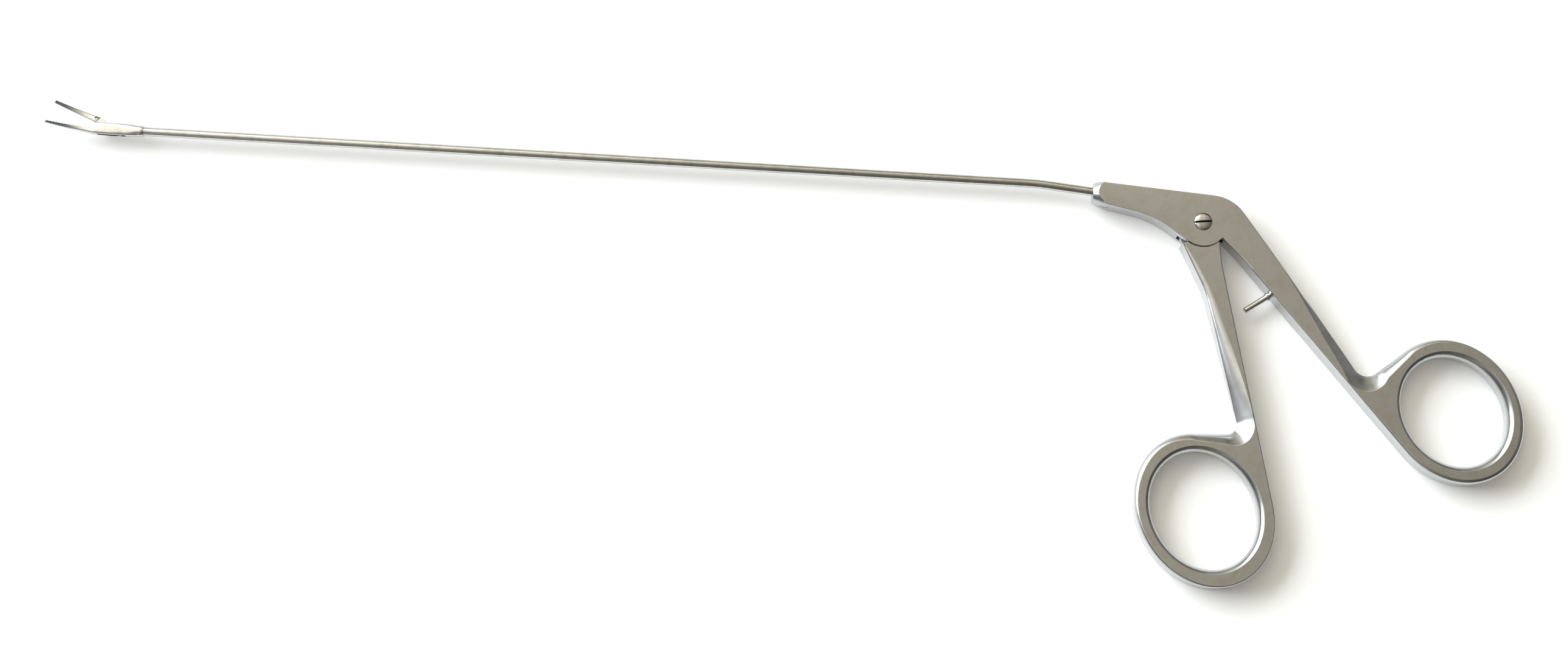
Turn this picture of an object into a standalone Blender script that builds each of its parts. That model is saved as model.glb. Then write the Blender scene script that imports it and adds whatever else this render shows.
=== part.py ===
"""Ring handled grasping forceps for the ear and nose, lying flat on its side.

A thin bent tube joins a pair of ring handles to a serrated alligator jaw.
Squeezing the handles turns the front handle about the pivot screw. Its tang
pushes a rod along the tube, and the rod swings the upper jaw shut.

The frame: the origin is on the pivot screw's axis, in the plane that the
handles lie on. The straight run of the tube is along X, with the jaws at -X.
+Z is up from the table. The design values are millimetres, and each finished
mesh is brought to metres.
"""

import math

import bmesh
import bpy
from mathutils import Matrix, Vector

MM = 0.001

# Handle forgings
HANDLE_THICKNESS = 5.5
EDGE_ROUND = 0.3
NOSE_X = -23.9
TOP_EDGE_Y = 6.24
TOP_EDGE_SLOPE = 3.7
SHOULDER_RADIUS = 9.0
LOWER_EDGE_NOSE_Y = 3.16
LOWER_EDGE_NOSE_SLOPE = 10.9
LOWER_EDGE_CHEEK_SLOPE = 34.2
LOWER_EDGE_RADIUS = 21.0
CHEEK_RADIUS = 5.3
CHEEK_LIP_ANGLE = -129.0
CHEEK_V_ANGLE = -38.0
V_CORNER_STEP = 0.4
NOSE_TURN_RADIUS = 2.14
NOSE_TURN_Y = 5.45
NOSE_CONE_ANGLE = 31.0

# Rear arm and its ring
REAR_OUTER_X = 10.72
REAR_OUTER_SLOPE = 52.7
REAR_INNER_X = 1.88
REAR_INNER_SLOPE = 48.1
REAR_KNEE_Y = -6.6
REAR_RING_X = 55.0
REAR_RING_Y = -38.2
REAR_RING_LONG = 16.4
REAR_RING_SHORT = 14.0
REAR_RING_TURN = -52.0
REAR_CROTCH_TURN = 40.0
REAR_CROTCH_RADIUS = 3.3
REAR_CHAMFER_LENGTH = 29.0
REAR_CHAMFER_START = 0.6
REAR_CHAMFER_END = 2.0
REAR_CHAMFER_PAST = 3.5

# Front arm and its ring
FRONT_SHOULDER_X = -4.3
FRONT_SHOULDER_Y = -5.1
FRONT_SHOULDER_TURN = 35.0
FRONT_WAIST_X = 0.95
FRONT_WAIST_Y = -15.2
FRONT_WAIST_RADIUS = 22.0
FRONT_OUTER_SLOPE = 74.3
FRONT_KNEE_X = 4.25
FRONT_KNEE_Y = -8.7
FRONT_TOP_X = 3.6
FRONT_RING_X = 2.2
FRONT_RING_Y = -62.55
FRONT_RING_LONG = 17.0
FRONT_RING_SHORT = 14.35
FRONT_RING_TURN = -60.5
FRONT_CROTCH_TURN = 3.0
FRONT_CROTCH_RADIUS = 2.2
FRONT_CHAMFER_LENGTH = 25.0
FRONT_CHAMFER_START = 0.45
FRONT_CHAMFER_END = 3.1
FRONT_CHAMFER_PAST = 2.7

# Both rings
RING_LONG_WALL = 4.05
RING_SHORT_WALL = 3.3
RING_RIM_EDGE = 0.8
RING_RIM_DEPTH = 1.2
RING_BORE_FLARE = 1.15
RING_BORE_DEPTH = 1.5
RING_SIDES = 64
CHAMFER_STEEPNESS = 0.62
CHAMFER_DEPTH = 1.85
RING_TANGENT_INSET = 0.5
KNEE_RADIUS = 12.0

# Pivot
CHEEK_GAP = 0.3
TANG_THICKNESS = 1.8
TANG_RADIUS = 4.9
TANG_TOE = 4.75
TANG_WEB_BURY = 1.6
TANG_SWING_GAP = 0.5
SCREW_HEAD_RADIUS = 1.9
SCREW_HEAD_SUNK = 0.75
SCREW_CROWN = 0.42
SCREW_SHANK_RADIUS = 1.25
SCREW_SLOT_WIDTH = 0.58
SCREW_SLOT_DEPTH = 0.6
SCREW_SLOT_TURN = 6.5
SCREW_FLOOR = 0.45
RUNNING_GAP = 0.08
SEAT_GAP = 0.05

# Stop pin on the rear arm
STOP_PIN_RADIUS = 0.65
STOP_PIN_REACH = 6.5
STOP_PIN_ROOT = 2.6
STOP_PIN_STATION = 20.0
STOP_PIN_TURN = 215.0
STOP_COLLAR_RADIUS = 0.9
STOP_COLLAR_LENGTH = 0.5

# Tube
TUBE_Y = 6.95
TUBE_OUTER_RADIUS = 1.0
TUBE_BORE_RADIUS = 0.68
WORKING_LENGTH = 229.6
BEND_AHEAD_OF_NOSE = 12.3
TUBE_BEND_ANGLE = 5.04
TUBE_BEND_RADIUS = 55.0
TUBE_SEAT_IN_HANDLE = 10.0
SET_PIN_INSET = 2.9
SET_PIN_RADIUS = 0.8

# Drive rod
ROD_RADIUS = 0.4
ROD_CHANNEL_RADIUS = 0.75
BARREL_RADIUS = 0.62
BARREL_WALL_GAP = 0.06
ROD_TAIL = 0.25

# Jaw end
HOUSING_LENGTH = 11.35
HOUSING_SOCKET = 3.5
HOUSING_TAPER = 2.6
HOUSING_HALF_HEIGHT = 1.38
HOUSING_HALF_WIDTH = 1.02
HOUSING_NECK_RADIUS = 1.24
JAW_PIVOT_SETBACK = 5.75
JAW_PIVOT_DROP = 0.70
JAW_LEVER = 1.45
JAW_OPEN_ANGLE = 16.0
JAW_PIN_RADIUS = 0.3
DRIVE_PIN_RADIUS = 0.25
BITE_LEVEL_FROM_ROOT = 1.65
BITE_RISE = 0.06
BITE_SLOPE = 5.2
JAW_LENGTH = 10.15
JAW_ROOT_HEIGHT = 1.24
FIXED_JAW_ROOT_HEIGHT = 1.08
JAW_TIP_HEIGHT = 0.34
JAW_ROOT_HALF_WIDTH = 0.92
JAW_TIP_HALF_WIDTH = 0.58
JAW_CURVE = 1.7
TOOTH_PITCH = 0.58
TOOTH_DEPTH = 0.22
JAW_TANG_THICKNESS = 0.56
BLADE_THICKNESS = 0.44
SIDE_GAP = 0.1

MID_Z = HANDLE_THICKNESS / 2
JAW_TIP_X = NOSE_X - WORKING_LENGTH
JAW_ROOT_X = JAW_TIP_X + JAW_LENGTH
HOUSING_START_X = JAW_ROOT_X + HOUSING_LENGTH
TUBE_JAW_END_X = HOUSING_START_X - HOUSING_SOCKET
TUBE_BEND_X = NOSE_X - BEND_AHEAD_OF_NOSE
SET_PIN_X = NOSE_X + SET_PIN_INSET
JAW_PIVOT_X = JAW_ROOT_X + JAW_PIVOT_SETBACK
BITE_X = JAW_ROOT_X - BITE_LEVEL_FROM_ROOT
TAN_BEND = math.tan(math.radians(TUBE_BEND_ANGLE))
JAW_PIVOT = Vector((JAW_PIVOT_X, TUBE_Y - JAW_PIVOT_DROP))


def clear_scene():
    for thing in list(bpy.data.objects):
        bpy.data.objects.remove(thing, do_unlink=True)


def material(name, colour, roughness, metallic=1.0):
    made = bpy.data.materials.new(name)
    made.use_nodes = True
    shader = made.node_tree.nodes["Principled BSDF"]
    shader.inputs["Base Color"].default_value = (*colour, 1.0)
    shader.inputs["Roughness"].default_value = roughness
    shader.inputs["Metallic"].default_value = metallic
    made.diffuse_color = (*colour, 1.0)
    return made


def blank(name, bm):
    """Turn a bmesh into an object, with its faces pointing out."""
    bmesh.ops.recalc_face_normals(bm, faces=bm.faces)
    mesh = bpy.data.meshes.new(name)
    bm.to_mesh(mesh)
    bm.free()
    thing = bpy.data.objects.new(name, mesh)
    bpy.context.scene.collection.objects.link(thing)
    return thing


def combine(target, tool, operation):
    """Join a tool to the target, or cut the target with it, and use it up."""
    change = target.modifiers.new(operation.lower(), 'BOOLEAN')
    change.operation = operation
    change.solver = 'EXACT'
    change.object = tool
    graph = bpy.context.evaluated_depsgraph_get()
    shaped = bpy.data.meshes.new_from_object(target.evaluated_get(graph))
    target.modifiers.remove(change)
    worn = target.data
    target.data = shaped
    bpy.data.meshes.remove(worn)
    bpy.data.objects.remove(tool, do_unlink=True)
    return target


def cut(target, *tools):
    for tool in tools:
        combine(target, tool, 'DIFFERENCE')
    return target


def join(target, *tools):
    for tool in tools:
        combine(target, tool, 'UNION')
    return target


def tidy(thing, merge=0.002):
    """Take out the slivers that cuts leave on flat faces."""
    bm = bmesh.new()
    bm.from_mesh(thing.data)
    bmesh.ops.remove_doubles(bm, verts=bm.verts, dist=merge)
    bmesh.ops.dissolve_degenerate(bm, dist=merge, edges=bm.edges)
    bmesh.ops.dissolve_limit(bm, angle_limit=math.radians(0.2), verts=bm.verts, edges=bm.edges)
    bmesh.ops.triangulate(bm, faces=[face for face in bm.faces if len(face.verts) > 4])
    bm.to_mesh(thing.data)
    bm.free()
    return thing


def finish(thing, look, holder=None, smooth=32.0):
    """Bring a piece to metres, about its holder's place, with its finish."""
    home = holder.location.copy() if holder else Vector((0, 0, 0))
    thing.data.transform(Matrix.Scale(MM, 4))
    thing.data.transform(Matrix.Translation(-home))
    thing.parent = holder
    thing.data.materials.clear()
    thing.data.materials.append(look)
    thing.data.shade_smooth()
    thing.data.set_sharp_from_angle(angle=math.radians(smooth))
    return thing


def holder_at(name, x, y, z):
    """An empty on a joint's axis, which carries a moving piece."""
    empty = bpy.data.objects.new(name, None)
    empty.empty_display_size = HANDLE_THICKNESS * MM
    empty.location = Vector((x, y, z)) * MM
    bpy.context.scene.collection.objects.link(empty)
    return empty


def prism(name, outline, low, high, edge=0.0, steps=2):
    """Extrude a plan outline, and round its upper and lower edges."""
    bm = bmesh.new()
    floor = bm.faces.new([bm.verts.new((p[0], p[1], low)) for p in outline])
    grown = bmesh.ops.extrude_face_region(bm, geom=[floor])
    lifted = [item for item in grown["geom"] if isinstance(item, bmesh.types.BMVert)]
    bmesh.ops.translate(bm, verts=lifted, vec=(0, 0, high - low))
    bmesh.ops.recalc_face_normals(bm, faces=bm.faces)
    if edge:
        rims = [e for e in bm.edges if abs(e.verts[0].co.z - e.verts[1].co.z) < 1e-6]
        bmesh.ops.bevel(bm, geom=rims, offset=edge, segments=steps, profile=0.5,
                        affect='EDGES', clamp_overlap=True)
        for level in (low, high):
            for vert in bm.verts:
                if abs(vert.co.z - level) < 1e-3:
                    vert.co.z = level
    return blank(name, bm)


def loft(name, loops):
    """Skin a row of loops that have equally many points, and cap the ends."""
    bm = bmesh.new()
    rows = [[bm.verts.new(p) for p in loop] for loop in loops]
    count = len(rows[0])
    for low, high in zip(rows, rows[1:]):
        for i in range(count):
            j = (i + 1) % count
            bm.faces.new((low[i], low[j], high[j], high[i]))
    bm.faces.new(rows[0])
    bm.faces.new(rows[-1])
    return blank(name, bm)


def turned(name, profile, start, direction, sides=32):
    """Turn (distance along the axis, radius) pairs about an axis."""
    along = Vector(direction).normalized()
    across = along.orthogonal().normalized()
    if abs(along.z) < 0.5:
        across = along.cross(Vector((0, 0, 1))).normalized()
    third = along.cross(across)
    loops = []
    for distance, radius in profile:
        middle = Vector(start) + along * distance
        loops.append([middle + across * (radius * math.cos(turn)) + third * (radius * math.sin(turn))
                      for turn in (2 * math.pi * i / sides for i in range(sides))])
    return loft(name, loops)


def rod(name, start, direction, radius, length, sides=32):
    return turned(name, [(0.0, radius), (length, radius)], start, direction, sides)


def oval(x, y, long, short, turn, inset=0.0, sides=RING_SIDES):
    """The plan points of an oval, drawn in by an inset."""
    c = math.cos(math.radians(turn))
    s = math.sin(math.radians(turn))
    points = []
    for i in range(sides):
        a = 2 * math.pi * i / sides
        u = (long - inset) * math.cos(a)
        v = (short - inset) * math.sin(a)
        points.append((x + u * c - v * s, y + u * s + v * c))
    return points


def arc(x, y, radius, start, end, steps):
    """Plan points along an arc, both ends included, in degrees."""
    turns = [math.radians(start + (end - start) * i / steps) for i in range(steps + 1)]
    return [(x + radius * math.cos(t), y + radius * math.sin(t)) for t in turns]


def rounded(before, corner, after, radius, steps=8):
    """Replace a plan corner by an arc that is tangent to its two sides."""
    b, c, a = Vector(before), Vector(corner), Vector(after)
    one = (b - c).normalized()
    two = (a - c).normalized()
    half = one.angle(two) / 2
    reach = min(radius / math.tan(half), 0.95 * (b - c).length, 0.95 * (a - c).length)
    size = reach * math.tan(half)
    centre = c + (one + two).normalized() * (size / math.sin(half))
    first = c + one * reach - centre
    last = c + two * reach - centre
    sweep = math.atan2(first.x * last.y - first.y * last.x, first.dot(last))
    return [tuple(centre + Matrix.Rotation(sweep * i / steps, 2) @ first) for i in range(steps + 1)]


def meet(p, slope_p, q, slope_q):
    """Where two plan lines cross, each given by a point and its angle."""
    a = Vector((math.cos(math.radians(slope_p)), math.sin(math.radians(slope_p))))
    b = Vector((math.cos(math.radians(slope_q)), math.sin(math.radians(slope_q))))
    gap = Vector(q) - Vector(p)
    t = (gap.x * b.y - gap.y * b.x) / (a.x * b.y - a.y * b.x)
    return (p[0] + a.x * t, p[1] + a.y * t)


def ring_levels(edge, depth, steps=4):
    """Heights and insets of a rounded rim, from the lower face to the upper."""
    low = [(depth * (1 - math.cos(t)), edge * (1 - math.sin(t)))
           for t in (math.pi / 2 * i / steps for i in range(steps + 1))]
    high = [(HANDLE_THICKNESS - z, inset) for z, inset in reversed(low)]
    return low + high


def ring_disc(name, x, y, long, short, turn):
    """The outside of a finger ring, still solid, with its rim rounded."""
    loops = []
    for z, inset in ring_levels(RING_RIM_EDGE, RING_RIM_DEPTH):
        loops.append([(px, py, z) for px, py in oval(x, y, long, short, turn, inset)])
    return loft(name, loops)


def ring_bore(name, x, y, long, short, turn):
    """The cutter for a finger hole, waisted so that the hole's lips are round."""
    loops = []
    wide = -RING_BORE_FLARE
    inner_long = long - RING_LONG_WALL
    inner_short = short - RING_SHORT_WALL
    levels = [(-1.0, wide)]
    for z, inset in ring_levels(RING_BORE_FLARE, RING_BORE_DEPTH):
        levels.append((z, -inset))
    levels.append((HANDLE_THICKNESS + 1.0, wide))
    for z, inset in levels:
        loops.append([(px, py, z) for px, py in oval(x, y, inner_long, inner_short, turn, inset)])
    return loft(name, loops)


def touch_point(point, x, y, long, short, turn, side):
    """Where the line from a point just touches an oval, on its left or right."""
    c = math.cos(math.radians(turn))
    s = math.sin(math.radians(turn))
    dx, dy = point[0] - x, point[1] - y
    u = (dx * c + dy * s) / long
    v = (-dx * s + dy * c) / short
    base = math.atan2(v, u)
    swing = math.acos(1.0 / math.hypot(u, v))
    t = base + side * swing
    a, b = long * math.cos(t), short * math.sin(t)
    return (x + a * c - b * s, y + a * s + b * c)


def tangent_oval(ring):
    """A ring's outline drawn in a little, so that an arm runs into its rounded rim."""
    x, y, long, short, turn = ring
    return (x, y, long - RING_TANGENT_INSET, short - RING_TANGENT_INSET, turn)


def oval_side(x, y, long, short, turn, normal):
    """The point of an oval whose side faces along a plan direction."""
    c = math.cos(math.radians(turn))
    s = math.sin(math.radians(turn))
    a = normal[0] * c + normal[1] * s
    b = -normal[0] * s + normal[1] * c
    reach = math.hypot(long * a, short * b)
    p, q = long * long * a / reach, short * short * b / reach
    return (x + p * c - q * s, y + p * s + q * c)


def chamfer_tool(name, corner, heading, inward, length, start, end, past, ring, lift):
    """A wedge that planes an arm's outer edge, wider and wider to the ring.

    Its level floor leaves a band at the middle of the edge. It runs along the
    heading to a bit past the arm's crotch corner, where a steep face that just
    misses the ring's flat stops it.
    """
    top = HANDLE_THICKNESS if lift > 0 else 0.0
    run = Vector((heading[0], heading[1], 0.0))
    side = Vector((inward[0], inward[1], 0.0))
    foot = Vector((corner[0], corner[1], top))
    a = foot - run * length + side * start
    b = foot + side * end
    along = (b - a).normalized()
    far = b + along * past
    x, y, long, short, turn = ring
    flat_long = long - RING_RIM_EDGE
    flat_short = short - RING_RIM_EDGE
    hand = 1 if along.cross(-side).z > 0 else -1
    graze = touch_point((far.x, far.y), x, y, flat_long, flat_short, turn, -hand)
    sill = (Vector((graze[0], graze[1], top)) - far).normalized()
    stop = sill.cross(Vector((0, 0, 1))).normalized()
    if stop.dot(along) < 0:
        stop = -stop
    stop = (stop - Vector((0, 0, lift * 0.6))).normalized()
    loops = [[], []]
    up = Vector((0, 0, lift))
    level = up * (-CHAMFER_DEPTH)
    slant = -side * (CHAMFER_DEPTH / CHAMFER_STEEPNESS)
    clear = -side * length
    for offset in (Vector((0, 0, 0)), slant + level, clear + level, clear + up, up):
        near = a + offset
        loops[0].append(near)
        reach = (far - near).dot(stop) / along.dot(stop)
        loops[1].append(near + along * reach)
    return loft(name, loops)


def tube_line(x):
    """The height in plan of the tube's axis inside the handle."""
    return TUBE_Y - TAN_BEND * (x - TUBE_BEND_X)


def tube_heading():
    return Vector((1.0, -TAN_BEND, 0.0)).normalized()


def axis_path(start_x, end_x, steps=6):
    """The tube's axis: straight, a gentle bend, and straight into the handle."""
    first = (start_x, TUBE_Y)
    corner = (TUBE_BEND_X, TUBE_Y)
    last = (end_x, tube_line(end_x))
    bend = rounded(first, corner, last, TUBE_BEND_RADIUS, steps)
    return [first] + bend + [last]


def swept(name, path, radius, sides):
    """A round bar along a plan path at the middle height."""
    loops = []
    for i, p in enumerate(path):
        before = Vector(path[max(i - 1, 0)])
        after = Vector(path[min(i + 1, len(path) - 1)])
        heading = (after - before).normalized()
        across = Vector((-heading.y, heading.x))
        loop = []
        for k in range(sides):
            a = 2 * math.pi * k / sides
            q = Vector(p) + across * (radius * math.cos(a))
            loop.append((q.x, q.y, MID_Z + radius * math.sin(a)))
        loops.append(loop)
    return loft(name, loops)


def v_point():
    """The inside corner between the cheek and the rear arm."""
    turn = math.radians(CHEEK_V_ANGLE)
    reach = CHEEK_RADIUS + V_CORNER_STEP
    return (reach * math.cos(turn), reach * math.sin(turn))


def rear_lines():
    """The rear arm's crotch corner, and the touch points on its ring."""
    ring = (REAR_RING_X, REAR_RING_Y, REAR_RING_LONG, REAR_RING_SHORT, REAR_RING_TURN)
    down = math.radians(-REAR_OUTER_SLOPE)
    heading = (math.cos(down), math.sin(down))
    inward = (math.sin(down), -math.cos(down))
    rise = math.radians(REAR_CROTCH_TURN)
    crotch_touch = oval_side(*ring, (-math.sin(rise), math.cos(rise)))
    corner = meet((REAR_OUTER_X, 0.0), -REAR_OUTER_SLOPE, crotch_touch, REAR_CROTCH_TURN)
    knee_x = REAR_INNER_X - REAR_KNEE_Y / math.tan(math.radians(REAR_INNER_SLOPE))
    knee = (knee_x, REAR_KNEE_Y)
    inner_touch = touch_point(knee, *tangent_oval(ring), 1)
    return ring, heading, inward, corner, crotch_touch, knee, inner_touch


def rear_outline():
    """Body, nose and rear arm in plan, up to inside the rear ring."""
    ring, heading, inward, corner, crotch_touch, knee, inner_touch = rear_lines()
    nose_top = (NOSE_X, TOP_EDGE_Y - NOSE_X * math.tan(math.radians(TOP_EDGE_SLOPE)))
    nose_low = (NOSE_X, LOWER_EDGE_NOSE_Y)
    fall = math.radians(LOWER_EDGE_CHEEK_SLOPE)
    reach = CHEEK_RADIUS + 0.9 * EDGE_ROUND
    cheek_point = (-reach * math.sin(fall), -reach * math.cos(fall))
    low_corner = meet(nose_low, -LOWER_EDGE_NOSE_SLOPE, cheek_point, -LOWER_EDGE_CHEEK_SLOPE)
    cheek_end = (cheek_point[0] + 2.0 * math.cos(fall), cheek_point[1] - 2.0 * math.sin(fall))
    v_corner = v_point()
    shoulder = meet((0.0, TOP_EDGE_Y), -TOP_EDGE_SLOPE, (REAR_OUTER_X, 0.0), -REAR_OUTER_SLOPE)
    points = [nose_low]
    points += rounded(nose_low, low_corner, cheek_point, LOWER_EDGE_RADIUS)
    points += [cheek_end, (0.5 * CHEEK_RADIUS, -1.1 * CHEEK_RADIUS), v_corner]
    points += rounded(v_corner, knee, inner_touch, KNEE_RADIUS, 4)
    points += [inner_touch, (ring[0], ring[1]), crotch_touch]
    points += rounded(crotch_touch, corner, shoulder, REAR_CROTCH_RADIUS)
    points += rounded(corner, shoulder, nose_top, SHOULDER_RADIUS)
    points += [nose_top]
    return points


def front_lines():
    """The front arm's crotch corner, and the touch points on its ring."""
    ring = (FRONT_RING_X, FRONT_RING_Y, FRONT_RING_LONG, FRONT_RING_SHORT, FRONT_RING_TURN)
    down = math.radians(-FRONT_OUTER_SLOPE)
    heading = (math.cos(down), math.sin(down))
    inward = (-math.sin(down), math.cos(down))
    rise = math.radians(FRONT_CROTCH_TURN)
    crotch_touch = oval_side(*ring, (-math.sin(rise), math.cos(rise)))
    waist = (FRONT_WAIST_X, FRONT_WAIST_Y)
    corner = meet(waist, -FRONT_OUTER_SLOPE, crotch_touch, FRONT_CROTCH_TURN)
    knee = (FRONT_KNEE_X, FRONT_KNEE_Y)
    right_touch = touch_point(knee, *tangent_oval(ring), -1)
    return ring, heading, inward, corner, crotch_touch, waist, knee, right_touch


def front_outline():
    """The front arm in plan, from its shoulder to inside the front ring."""
    ring, heading, inward, corner, crotch_touch, waist, knee, right_touch = front_lines()
    shoulder = (FRONT_SHOULDER_X, FRONT_SHOULDER_Y)
    lean = math.radians(FRONT_SHOULDER_TURN)
    inside = (shoulder[0] + TANG_WEB_BURY * math.cos(lean), shoulder[1] + TANG_WEB_BURY * math.sin(lean))
    top = (FRONT_TOP_X, -0.6 * CHEEK_RADIUS)
    points = [shoulder]
    points += rounded(shoulder, waist, corner, FRONT_WAIST_RADIUS)
    points += rounded(waist, corner, crotch_touch, FRONT_CROTCH_RADIUS)
    points += [crotch_touch, (ring[0], ring[1]), right_touch]
    points += rounded(right_touch, knee, top, KNEE_RADIUS, 4)
    points += [top, inside]
    return points


def rear_handle():
    """Body, tube nose, rear arm and ring: one forging, then milled."""
    ring, heading, inward, corner, crotch_touch, knee, inner_touch = rear_lines()
    body = prism("rear_handle", rear_outline(), 0.0, HANDLE_THICKNESS, EDGE_ROUND)
    join(body, ring_disc("ring", *ring))
    for lift in (1, -1):
        cut(body, chamfer_tool("chamfer", corner, heading, inward, REAR_CHAMFER_LENGTH,
                               REAR_CHAMFER_START, REAR_CHAMFER_END, REAR_CHAMFER_PAST, ring, lift))
    cut(body, ring_bore("finger_hole", *ring))
    cut(body, nose_turning())
    cheeks = arc(0.0, 0.0, CHEEK_RADIUS, CHEEK_LIP_ANGLE, CHEEK_V_ANGLE, 16)
    cheeks.append(v_point())
    for reach, angle in ((1.5, CHEEK_V_ANGLE - 24.0), (1.9, CHEEK_LIP_ANGLE + 38.0), (1.25, CHEEK_LIP_ANGLE)):
        cheeks += arc(0.0, 0.0, reach * CHEEK_RADIUS, angle, angle, 1)[:1]
    cut(body, prism("cheek_arc", cheeks, -1.0, HANDLE_THICKNESS + 1.0))
    slot_low = MID_Z - TANG_THICKNESS / 2 - CHEEK_GAP
    slot_high = MID_Z + TANG_THICKNESS / 2 + CHEEK_GAP
    slot_radius = TANG_RADIUS + CHEEK_GAP
    left = -(TANG_TOE + TANG_SWING_GAP)
    right = slot_radius * math.cos(math.radians(25.0))
    mouth = [(left, 0.0)] + [(left, -2.5 * CHEEK_RADIUS), (right, -2.5 * CHEEK_RADIUS)]
    mouth += arc(0.0, 0.0, slot_radius, -25.0, 180.0, 28)
    cut(body, prism("tang_slot", mouth, slot_low, slot_high))
    start = Vector((NOSE_X, tube_line(NOSE_X), MID_Z))
    inward_way = tube_heading()
    cut(body, rod("rod_channel", start, inward_way, ROD_CHANNEL_RADIUS, -NOSE_X - 0.5, 24))
    cut(body, rod("tube_socket", start - inward_way, inward_way, TUBE_OUTER_RADIUS + SEAT_GAP,
                  TUBE_SEAT_IN_HANDLE + 1.0 + SEAT_GAP, 32))
    head_floor = HANDLE_THICKNESS - SCREW_HEAD_SUNK - SEAT_GAP
    cut(body, rod("screw_seat", (0, 0, head_floor), (0, 0, 1), SCREW_HEAD_RADIUS + SEAT_GAP, 3.0, 40))
    cut(body, rod("screw_hole", (0, 0, SCREW_FLOOR), (0, 0, 1), SCREW_SHANK_RADIUS + RUNNING_GAP,
                  HANDLE_THICKNESS, 32))
    cut(body, stop_pin_hole(), set_pin_hole())
    return tidy(body)


def nose_turning():
    """What the lathe takes off the body's nose: a ring outside a cone."""
    rise = math.tan(math.radians(NOSE_CONE_ANGLE))
    reach = 3.4
    profile = [(NOSE_X - 0.5, NOSE_TURN_RADIUS - 0.5 * rise), (NOSE_X + reach, NOSE_TURN_RADIUS + reach * rise),
               (NOSE_X - 0.5, NOSE_TURN_RADIUS + reach * rise + 1.0)]
    bm = bmesh.new()
    rows = []
    sides = 48
    for i in range(sides):
        a = 2 * math.pi * i / sides
        rows.append([bm.verts.new((x, NOSE_TURN_Y + r * math.cos(a), MID_Z + r * math.sin(a)))
                     for x, r in profile])
    for i in range(sides):
        near, far = rows[i], rows[(i + 1) % sides]
        for k in range(3):
            m = (k + 1) % 3
            bm.faces.new((near[k], far[k], far[m], near[m]))
    return blank("nose_turning", bm)


def front_handle():
    """Front arm and ring, with the tang that turns between the cheeks."""
    ring, heading, inward, corner, crotch_touch, waist, knee, right_touch = front_lines()
    arm = prism("front_handle", front_outline(), 0.0, HANDLE_THICKNESS, EDGE_ROUND)
    join(arm, ring_disc("ring", *ring))
    for lift in (1, -1):
        cut(arm, chamfer_tool("chamfer", corner, heading, inward, FRONT_CHAMFER_LENGTH,
                              FRONT_CHAMFER_START, FRONT_CHAMFER_END, FRONT_CHAMFER_PAST, ring, lift))
    cut(arm, ring_bore("finger_hole", *ring))
    cut(arm, rod("cheek_arc", (0, 0, -1.0), (0, 0, 1), CHEEK_RADIUS + CHEEK_GAP,
                 HANDLE_THICKNESS + 2.0, 72))
    low = MID_Z - TANG_THICKNESS / 2
    high = MID_Z + TANG_THICKNESS / 2
    toe = -TANG_TOE
    knuckle = arc(0.0, 0.0, TANG_RADIUS, -35.0, 165.0, 28)
    bury = TANG_WEB_BURY
    web = [(toe, 0.2 * toe), (toe, 0.62 * toe), (0.94 * FRONT_SHOULDER_X, 0.96 * FRONT_SHOULDER_Y),
           (FRONT_SHOULDER_X + bury, FRONT_SHOULDER_Y - bury),
           (0.94 * FRONT_TOP_X, FRONT_SHOULDER_Y - bury), (FRONT_TOP_X, -0.78 * CHEEK_RADIUS)]
    join(arm, prism("tang", knuckle + web, low, high))
    cut(arm, rod("screw_bore", (0, 0, -1.0), (0, 0, 1), SCREW_SHANK_RADIUS + RUNNING_GAP,
                 HANDLE_THICKNESS + 2.0, 32))
    cut(arm, barrel_notch(), rod_way())
    return tidy(arm)


def barrel_place():
    """Where the rod's barrel sits in the tang, square to the rod above the pivot."""
    way = tube_heading()
    up = Vector((-way.y, way.x, 0.0))
    along = tube_line(0.0) / math.hypot(1.0, TAN_BEND)
    return up * along


def barrel_notch():
    """The notch in the tang that the barrel rides in, open at its top."""
    place = barrel_place()
    up = place.normalized()
    side = Vector((up.y, -up.x, 0.0))
    half = BARREL_RADIUS + BARREL_WALL_GAP
    bottom = place - up * 0.12
    points = []
    for i in range(13):
        a = math.pi + math.pi * i / 12
        points.append(bottom + side * (half * math.cos(a)) + up * (half * math.sin(a)))
    points += [bottom + side * half + up * 4.0, bottom - side * half + up * 4.0]
    return prism("notch", [(p.x, p.y) for p in points], 0.0, HANDLE_THICKNESS)


def rod_way():
    """The saw cut that lets the rod into the tang, between two ears."""
    place = barrel_place()
    way = tube_heading()
    up = Vector((-way.y, way.x, 0.0))
    drop = 0.75
    a = place - way * 7.0 - up * drop
    b = place + way * 1.6 - up * drop
    c = b + up * 4.0
    d = a + up * 4.0
    half = ROD_RADIUS + 0.12
    return prism("rod_way", [(p.x, p.y) for p in (a, b, c, d)], MID_Z - half, MID_Z + half)


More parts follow.
